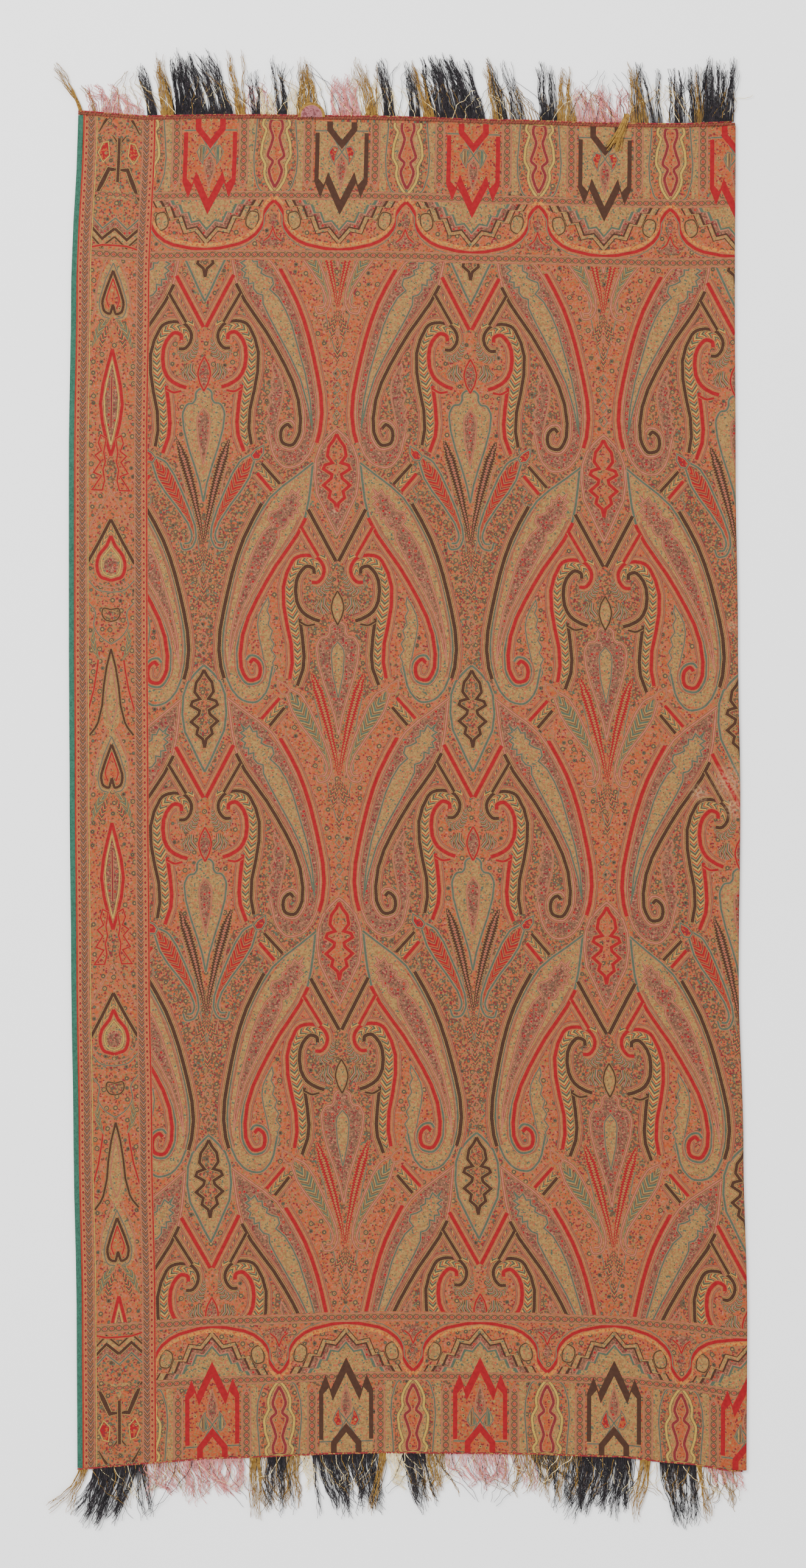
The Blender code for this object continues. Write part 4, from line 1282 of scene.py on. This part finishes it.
def yarn_tree():
    """Strands of yarn along a line of mesh. They grow along Y, up or down by the sign of Reach."""
    tree, names, given = new_tree("Loose yarns", YARN_INPUTS)
    line = add(tree, "GeometryNodeMeshToCurve", {0: given["Geometry"]}).outputs[0]
    roots = add(tree, "GeometryNodeCurveToPoints", {0: line, "Count": given["Yarns"]}).outputs[0]
    index = add(tree, "GeometryNodeInputIndex").outputs[0]
    last = calc(tree, "SUBTRACT", given["Yarns"], 1.0)
    share = calc(tree, "DIVIDE", index, last)
    # A lock is seven neighbours. Each root gets its own numbers and its lock's; its strand keeps them.
    turns = calc(tree, "DIVIDE", index, YARNS_IN_LOCK)
    lock = calc(tree, "FLOOR", turns)
    in_lock = calc(tree, "FRACT", turns)
    for title, low, high, step, who in (
        ("length", 0.7, 1.0, 1, index), ("aside", -1.0, 1.0, 2, index), ("phase", 0.0, 90.0, 3, index),
        ("lift", -1.0, 1.0, 4, index), ("lock_length", 0.86, 1.06, 5, lock),
        ("lock_aside", -1.0, 1.0, 6, lock), ("lock_phase", 0.0, 90.0, 7, lock),
    ):
        seed = calc(tree, "ADD", given["Seed"], float(step * SEED_STEP))
        links = {2: low, 3: high, 7: who, 8: seed}
        value = add(tree, "FunctionNodeRandomValue", links, data_type="FLOAT").outputs[1]
        roots = with_number(tree, roots, title, value)
    for title, value in (("share", share), ("in_lock", in_lock)):
        roots = with_number(tree, roots, title, value)
    strand = add(tree, "GeometryNodeCurvePrimitiveLine", {"Start": (0, 0, 0), "End": (0, 1, 0)}).outputs[0]
    strand = add(tree, "GeometryNodeResampleCurve", {0: strand, "Count": YARN_STATIONS}).outputs[0]
    strands = add(tree, "GeometryNodeInstanceOnPoints", {"Points": roots, "Instance": strand}).outputs[0]
    strands = add(tree, "GeometryNodeRealizeInstances", {0: strands}).outputs[0]
    own = {}
    for title in (
        "length", "aside", "phase", "lift", "share", "in_lock",
        "lock_length", "lock_aside", "lock_phase",
    ):
        number = add(tree, "GeometryNodeInputNamedAttribute", {"Name": title}, data_type="FLOAT")
        own[title] = number.outputs[0]
    # From root to tip: how far along, and that share bent so that a strand starts out straight.
    along = add(tree, "GeometryNodeSplineParameter").outputs["Factor"]
    bent = calc(tree, "POWER", along, 1.4)
    links = {0: own["share"], 1: 0.0, 2: 1.0, 3: given["First lean"], 4: given["Last lean"]}
    lean = add(tree, "ShaderNodeMapRange", links).outputs[0]
    aside = calc(tree, "MULTIPLY_ADD", own["aside"], given["Spread"], lean)
    wide = calc(tree, "MULTIPLY", given["Spread"], 1.8)
    aside = calc(tree, "MULTIPLY_ADD", own["lock_aside"], wide, aside)
    off_middle = calc(tree, "SUBTRACT", 0.45, own["in_lock"])
    aside = calc(tree, "MULTIPLY_ADD", off_middle, given["Gather"], aside)
    move_x = calc(tree, "MULTIPLY", aside, bent)
    far = calc(tree, "MULTIPLY", own["length"], given["Reach"])
    far = calc(tree, "MULTIPLY", far, own["lock_length"])
    less = calc(tree, "SUBTRACT", far, 1.0)
    move_y = calc(tree, "MULTIPLY", less, along)
    move_z = calc(tree, "MULTIPLY", own["lift"], given["Depth"])
    move = add(tree, "ShaderNodeCombineXYZ", {0: move_x, 1: move_y, 2: move_z}).outputs[0]
    moved = add(tree, "GeometryNodeSetPosition", {0: strands, "Offset": move}).outputs[0]
    # A lock wanders slowly as a whole, and each strand in it kinks finely, as untwisted yarn does.
    at_height = add(tree, "ShaderNodeCombineXYZ", {0: along}).outputs[0]
    kink = calc(tree, "MULTIPLY_ADD", given["Curl"], 0.3, FINEST_KINK)
    for phase, scale, detail, reach in (
        (own["lock_phase"], 1.7, 1.0, given["Curl"]), (own["phase"], 6.0, 2.0, kink),
    ):
        links = {"Vector": at_height, "W": phase, "Scale": scale, "Detail": detail}
        wander = add(tree, "ShaderNodeTexNoise", links, noise_dimensions="4D").outputs["Color"]
        links = {0: wander, 1: (0.5, 0.5, 0.5)}
        wander = add(tree, "ShaderNodeVectorMath", links, operation="SUBTRACT").outputs[0]
        links = {0: wander, 1: (2.0, 1.0, 0.03)}
        wander = add(tree, "ShaderNodeVectorMath", links, operation="MULTIPLY").outputs[0]
        size = calc(tree, "MULTIPLY", along, reach)
        wander = add(tree, "ShaderNodeVectorMath", {0: wander, "Scale": size}, operation="SCALE").outputs[0]
        moved = add(tree, "GeometryNodeSetPosition", {0: moved, "Offset": wander}).outputs[0]
    profile = add(tree, "GeometryNodeCurvePrimitiveCircle", {"Resolution": 3, "Radius": 0.5}).outputs[0]
    links = {0: along, 1: 0.0, 2: 1.0, 3: given["Thickness"], 4: TIP_THICKNESS}
    width = add(tree, "ShaderNodeMapRange", links).outputs[0]
    moved = add(tree, "GeometryNodeSetCurveRadius", {0: moved, "Radius": width}).outputs[0]
    links = {"Curve": moved, "Profile Curve": profile, "Fill Caps": True}
    solid = add(tree, "GeometryNodeCurveToMesh", links)
    if "Scale" in solid.inputs:
        radius = add(tree, "GeometryNodeInputRadius").outputs[0]
        tree.links.new(radius, solid.inputs["Scale"])
    solid = add(tree, "GeometryNodeRealizeInstances", {0: solid.outputs[0]}).outputs[0]
    solid = add(tree, "GeometryNodeSetMaterial", {0: solid, "Material": given["Wool"]}).outputs[0]
    add(tree, "NodeGroupOutput", {0: solid})
    return tree, names


loose_yarns, yarn_names = yarn_tree()
print("inputs of the yarn tree:", list(yarn_names))

# %% Yarn colours, and the bunches, whose places were read off the photograph
YARN_COLOURS = {
    "black": ("#201D20", "#2C262A"), "gold": ("#8C6A2F", "#765525"),
    "pink": ("#CC7D79", "#A86562"), "cream": ("#EED9A0", "#CDB37C"),
}
yarn_wools = {name: plain_wool("yarn_" + name, *codes, 3.0) for name, codes in YARN_COLOURS.items()}

# A bunch: roots from and to along X, tips from and to, reach, yarns, colour, curl (mm).
TOP_UPPER = (
    (-417, -413, -455, -450, 66, 12, "gold", 6), (-399, -395, -414, -410, 40, 4, "gold", 4),
    (-386, -334, -396, -346, 32, 30, "pink", 22), (-329, -317, -346, -332, 76, 24, "black", 5),
    (-312, -296, -319, -306, 80, 24, "gold", 5), (-291, -220, -300, -246, 84, 112, "black", 6),
    (-216, -205, -231, -211, 82, 18, "gold", 5), (-195, -185, -201, -190, 66, 14, "black", 5),
    (-184, -166, -188, -168, 38, 14, "cream", 14), (-163, -150, -165, -154, 80, 20, "black", 5),
    (-150, -136, -152, -138, 58, 8, "cream", 14), (-138, -112, -128, -120, 74, 30, "gold", 6),
    (-92, -56, -92, -72, 54, 42, "pink", 18), (-50, -34, -62, -50, 78, 24, "gold", 5),
    (-26, -12, -40, -32, 76, 24, "black", 5), (6, 20, 0, 8, 76, 24, "black", 5),
    (24, 38, 6, 14, 80, 20, "gold", 5), (41, 103, 30, 78, 84, 104, "black", 6),
    (113, 125, 96, 106, 84, 14, "gold", 5), (119, 132, 102, 112, 84, 14, "black", 5),
    (137, 153, 122, 130, 84, 12, "black", 5), (173, 195, 168, 188, 78, 28, "black", 5),
    (194, 220, 196, 208, 80, 28, "gold", 6), (220, 278, 218, 268, 50, 46, "pink", 20),
    (289, 312, 282, 296, 80, 22, "gold", 5), (296, 312, 288, 300, 80, 12, "black", 5),
    (315, 330, 302, 322, 78, 14, "black", 5), (346, 354, 344, 352, 80, 12, "black", 5),
    (368, 380, 364, 378, 82, 14, "black", 5), (372, 382, 370, 384, 80, 8, "gold", 5),
    (380, 421, 384, 424, 84, 72, "black", 6),
)
TOP_UNDER = (
    (-404, -362, -414, -376, 40, 20, "pink", 16), (-300, -262, -306, -276, 74, 40, "black", 6),
    (-204, -160, -212, -176, 46, 14, "pink", 14), (-138, -104, -144, -112, 60, 14, "gold", 8),
    (-66, -6, -76, -22, 52, 18, "cream", 16), (30, 92, 16, 66, 76, 50, "black", 6),
    (120, 186, 104, 174, 48, 18, "gold", 14), (230, 300, 224, 288, 48, 24, "pink", 18),
    (340, 412, 336, 412, 74, 44, "black", 8),
)
FOOT_UPPER = (
    (-417, -406, -448, -432, 62, 14, "gold", 8), (-398, -341, -420, -366, 82, 92, "black", 7),
    (-344, -331, -344, -320, 74, 16, "black", 6), (-341, -280, -338, -278, 48, 26, "pink", 30),
    (-336, -290, -330, -286, 40, 10, "gold", 30), (-280, -207, -270, -200, 56, 64, "pink", 22),
    (-198, -185, -194, -182, 78, 22, "gold", 6), (-175, -153, -179, -136, 80, 32, "black", 12),
    (-150, -134, -146, -130, 72, 14, "gold", 10), (-134, -121, -128, -112, 48, 10, "cream", 26),
    (-118, -72, -100, -68, 82, 60, "black", 8), (-72, -35, -56, -22, 82, 46, "black", 12),
    (-32, -23, -44, -36, 82, 14, "gold", 5), (-23, 0, -18, 4, 50, 16, "cream", 24),
    (-3, 26, 10, 36, 80, 40, "black", 7), (28, 53, 36, 50, 64, 14, "gold", 8),
    (53, 133, 58, 136, 46, 42, "pink", 26), (137, 226, 142, 214, 62, 40, "gold", 16),
    (162, 190, 186, 206, 46, 26, "black", 18), (190, 228, 196, 222, 80, 26, "black", 9),
    (228, 290, 206, 286, 84, 92, "black", 7), (302, 315, 290, 300, 82, 18, "gold", 5),
    (327, 373, 344, 374, 82, 56, "black", 7), (374, 380, 390, 398, 78, 12, "gold", 6),
    (388, 430, 392, 434, 26, 26, "pink", 14),
)
FOOT_UNDER = (
    (-398, -356, -420, -380, 66, 34, "black", 8), (-322, -250, -316, -240, 46, 22, "pink", 22),
    (-190, -140, -182, -130, 70, 26, "gold", 10), (-100, -40, -84, -36, 66, 34, "black", 8),
    (0, 50, 14, 56, 68, 24, "gold", 12), (90, 170, 98, 176, 48, 26, "pink", 20),
    (216, 296, 216, 292, 70, 46, "black", 8), (330, 424, 330, 428, 50, 36, "gold", 18),
)
YARN_THICKNESS = 1.1
STRAYS_TOP = (
    (-380, 420, -392, 424, 52, 60, "gold", 16), (-390, 400, -398, 396, 44, 50, "cream", 20),
    (-300, 410, -318, 404, 70, 40, "black", 12),
)
STRAYS_FOOT = (
    (-400, 420, -404, 426, 56, 60, "gold", 18), (-390, 410, -380, 412, 44, 46, "cream", 22),
    (-396, 412, -402, 410, 70, 40, "black", 14),
)
TOP_UPPER += STRAYS_TOP
FOOT_UPPER += STRAYS_FOOT
PLY_SPREAD = 3.6
LOOSE_CURL = 7.0
YARNS_GATHERED = 5.5


# %% Laying the bunches
def bunch(line, away, base, values, seed):
    """One bunch of yarns as a plain mesh."""
    root_0, root_1, tip_0, tip_1, reach, yarns, colour, curl = values
    places = np.linspace(root_0, root_1, 5)
    depths = np.interp(places, *line) + away * (SEAM + HEADING_WIDTH * 0.5)
    points = np.column_stack([places, depths, np.full(5, base + HEADING_HEIGHT / 2)])
    given = {
        "Yarns": yarns, "Reach": away * reach * MM, "First lean": (tip_0 - root_0) * MM,
        "Last lean": (tip_1 - root_1) * MM, "Spread": PLY_SPREAD * MM,
        "Curl": (curl + LOOSE_CURL) * MM,
        "Gather": abs(root_1 - root_0) * YARNS_GATHERED / yarns * MM,
        "Thickness": YARN_THICKNESS * MM, "Depth": HEADING_HEIGHT * 0.45 * MM, "Seed": seed,
        "Wool": yarn_wools[colour],
    }
    values = {yarn_names[title]: value for title, value in given.items()}
    return laid(points, [(i, i + 1) for i in range(4)], loose_yarns, values)


def heading(line, away, base, start, stop):
    """The narrow woven heading that holds the yarns, as a closed bar along the cloth's end."""
    builder = bmesh.new()
    rings = []
    for x in [start, *[x for x in line[0] if start < x < stop], stop]:
        near = float(np.interp(x, *line)) + away * SEAM
        far = near + away * HEADING_WIDTH
        low, high = base, base + HEADING_HEIGHT
        corners = ((near, low), (far, low), (far, high), (near, high))
        rings.append([builder.verts.new((x * MM, y * MM, z * MM)) for y, z in corners])
    for before, after in zip(rings, rings[1:]):
        for side in range(4):
            ahead = (side + 1) % 4
            builder.faces.new((before[side], before[ahead], after[ahead], after[side]))
    builder.faces.new(rings[0])
    builder.faces.new(rings[-1])
    bmesh.ops.recalc_face_normals(builder, faces=builder.faces)
    mesh = bpy.data.meshes.new("heading")
    builder.to_mesh(mesh)
    builder.free()
    return mesh


def gathered(name, parts):
    """Several meshes, each with its own material, as one object."""
    builder = bmesh.new()
    materials = []
    for mesh, material in parts:
        if material not in materials:
            materials.append(material)
        before = len(builder.faces)
        builder.from_mesh(mesh)
        builder.faces.ensure_lookup_table()
        for face in builder.faces[before:]:
            face.material_index = materials.index(material)
            face.smooth = True
    mesh = bpy.data.meshes.new(name)
    builder.to_mesh(mesh)
    builder.free()
    for material in materials:
        mesh.materials.append(material)
    return new_object(name, mesh)


# %% [markdown]
# ## Two locks that lie over the end
# One lock at the top end is wound into a half round, and another has turned back and lies on
# the cloth. Their yarns follow paths, so a second, simpler tree gives a line its thickness.

# %% Yarns on drawn paths
def path_tree():
    """Yarns that follow the mesh lines they are given."""
    inputs = (("Thickness", "Float"), ("Wool", "Material"))
    tree, names, given = new_tree("Yarn on a path", inputs)
    line = add(tree, "GeometryNodeMeshToCurve", {0: given["Geometry"]}).outputs[0]
    half = calc(tree, "MULTIPLY", given["Thickness"], 0.5)
    profile = add(tree, "GeometryNodeCurvePrimitiveCircle", {"Resolution": 5, "Radius": half}).outputs[0]
    links = {"Curve": line, "Profile Curve": profile, "Fill Caps": True}
    solid = add(tree, "GeometryNodeCurveToMesh", links).outputs[0]
    solid = add(tree, "GeometryNodeRealizeInstances", {0: solid}).outputs[0]
    solid = add(tree, "GeometryNodeSetMaterial", {0: solid, "Material": given["Wool"]}).outputs[0]
    add(tree, "NodeGroupOutput", {0: solid})
    return tree, names


path_yarns, path_names = path_tree()


def yarns_on(paths, thickness, wool):
    """Yarns along paths, each a list of points in mm, as a plain mesh."""
    points = [point for path in paths for point in path]
    edges = []
    for path in paths:
        first = edges[-1][1] + 1 if edges else 0
        edges += [(first + i, first + i + 1) for i in range(len(path) - 1)]
    values = {path_names["Thickness"]: thickness * MM, path_names["Wool"]: wool}
    return laid(points, edges, path_yarns, values)


WOUND_X = -119.0
WOUND_RADIUS = 15.0
WOUND_WIDER, WOUND_LONGER = 1.25, 1.35
WOUND_BASE = 4.6
FLOPPED = ((285, 864), (282, 852), (277, 838), (272, 826), (268, 816))
YARN_REST = 1.1


def wound_lock(radii, rise):
    """Half circles of yarn that swell over the hem, like a lock wound round a finger."""
    middle = float(np.interp(WOUND_X, *TOP_LINE)) + 1.0
    paths = []
    for radius in radii:
        path = []
        for angle in [math.pi * i / 14 for i in range(15)]:
            x = WOUND_X - WOUND_WIDER * radius * math.cos(angle)
            y = middle + WOUND_LONGER * radius * math.sin(angle) - 2.0
            swell = rise * math.sin(angle) * (1 - radius / WOUND_RADIUS)
            path.append((x, y, WOUND_BASE + swell + 0.3 * math.sin(9 * angle + radius)))
        paths.append(path)
    return paths


def flopped_lock(yarns, chance):
    """A lock that turned back over the hem and lies on the cloth, its yarns fanned out."""
    paths = []
    for _ in range(yarns):
        side, end = chance.uniform(-1, 1), chance.uniform(0.75, 1.0)
        path = []
        for i, (x, y) in enumerate(FLOPPED):
            share = i / (len(FLOPPED) - 1)
            x += side * (3.5 + 8 * share * share) + chance.uniform(-0.8, 0.8)
            y = FLOPPED[0][1] + (y - FLOPPED[0][1]) * end
            rest = max(float(upper_face(x, min(y, 850), 420)), 4.0 - 2.0 * share)
            path.append((x, y, rest + YARN_REST + chance.uniform(0, 0.8)))
        paths.append(path)
    return paths


chance = random.Random(27)
# The wound lock is the same pink yarn made darker: painted shade for the shade among its wound yarns.
pink_with_painted_shade = plain_wool("yarn_rose_painted_shade", "#9C6264", "#7C4648", 3.0)
wound_pink = yarns_on(wound_lock(np.arange(1.0, 11.0, 0.9), 3.0), 1.15, pink_with_painted_shade)
wound_gold = yarns_on(wound_lock(np.arange(11.2, 14.2, 0.8), 0.6), 1.2, yarn_wools["gold"])
flopped = yarns_on(flopped_lock(26, chance), 0.9, yarn_wools["gold"])
print("faces of the wound and flopped locks:", [len(m.polygons) for m in (wound_pink, wound_gold, flopped)])

# %% [markdown]
# ## The four fringes
# Each end has a fringe on the upper half and one on the under half. A fringe is one piece: its
# woven heading and all its bunches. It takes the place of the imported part's simpler solid.

# %% The four fringes
heading_wool = plain_wool("wool_heading", "#762127", "#8C6432", 2.0)
fringes = {}
for name, bunches, line, away, base, seed in (
    ("fringe_top_upper", TOP_UPPER, TOP_LINE, 1, UPPER_HEADING_BASE, 100),
    ("fringe_top_under", TOP_UNDER, TOP_LINE, 1, UNDER_HEADING_BASE, 200),
    ("fringe_foot_upper", FOOT_UPPER, FOOT_LINE, -1, UPPER_HEADING_BASE, 300),
    ("fringe_foot_under", FOOT_UNDER, FOOT_LINE, -1, UNDER_HEADING_BASE, 400),
):
    end = HALF_LENGTH * away
    start = float(eased(SIDE_EDGES, 1, end)) + (UNDER_INSET if base < 1 else 0)
    stop = float(eased(SIDE_EDGES, 2, end)) - FOLD_HEIGHT
    parts = [(heading(line, away, base, start, stop), heading_wool)]
    for i, values in enumerate(bunches):
        parts.append((bunch(line, away, base, values, seed + i), yarn_wools[values[6]]))
    if name == "fringe_top_upper":
        parts += [(wound_pink, pink_with_painted_shade), (wound_gold, yarn_wools["gold"])]
        parts.append((flopped, yarn_wools["gold"]))
    piece = gathered("yarns_" + name, parts)
    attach(piece, "root")
    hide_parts(name)
    fringes[name] = piece
    print(piece.name, "faces:", len(piece.data.polygons))

# %% [markdown]
# ## The cloth
# The two halves are one cut of cloth.

# %% [markdown]
# ## Floor, light and camera
# The shawl was photographed from straight above on white. A pale floor, an even pale sky and
# one large soft lamp from the upper left give its low waves a little shade.

# %% Floor
floor_mesh = bpy.data.meshes.new("floor")
floor_mesh.from_pydata([(-4, -4, 0), (4, -4, 0), (4, 4, 0), (-4, 4, 0)], [], [(0, 1, 2, 3)])
floor = new_object("floor", floor_mesh)
floor.location.z = -0.0003
paper, tree = new_material("paper_white")
links = {"Base Color": linear("#F8F8F8"), "Roughness": 0.9}
shader = add(tree, "ShaderNodeBsdfPrincipled", links)
add(tree, "ShaderNodeOutputMaterial", {"Surface": shader.outputs[0]})
floor_mesh.materials.append(paper)

# %% Light
SKY_STRENGTH = 1.5
LAMP_PLACE = Vector((-3.4, 2.8, 4.6))
world = bpy.data.worlds.new("studio")
bpy.context.scene.world = world
world.use_nodes = True
world.node_tree.nodes["Background"].inputs["Color"].default_value = (1.0, 1.0, 1.0, 1.0)
world.node_tree.nodes["Background"].inputs["Strength"].default_value = SKY_STRENGTH
lamp_data = bpy.data.lights.new("soft_box", "AREA")
lamp_data.energy = 520
lamp_data.size = 3.0
lamp = new_object("soft_box", lamp_data)
lamp.location = LAMP_PLACE
lamp.rotation_euler = (-LAMP_PLACE).to_track_quat("-Z", "Y").to_euler()

# %% Camera
PIXEL = 0.78
IMAGE_PIXELS_HIGH = 2576
LENS = 85.0
SENSOR = 36.0
camera_data = bpy.data.cameras.new("camera")
camera_data.lens = LENS
camera_data.sensor_width = SENSOR
camera = new_object("camera", camera_data)
camera.location = (-0.002, 0.006, IMAGE_PIXELS_HIGH * PIXEL * MM * LENS / SENSOR)
bpy.context.scene.camera = camera
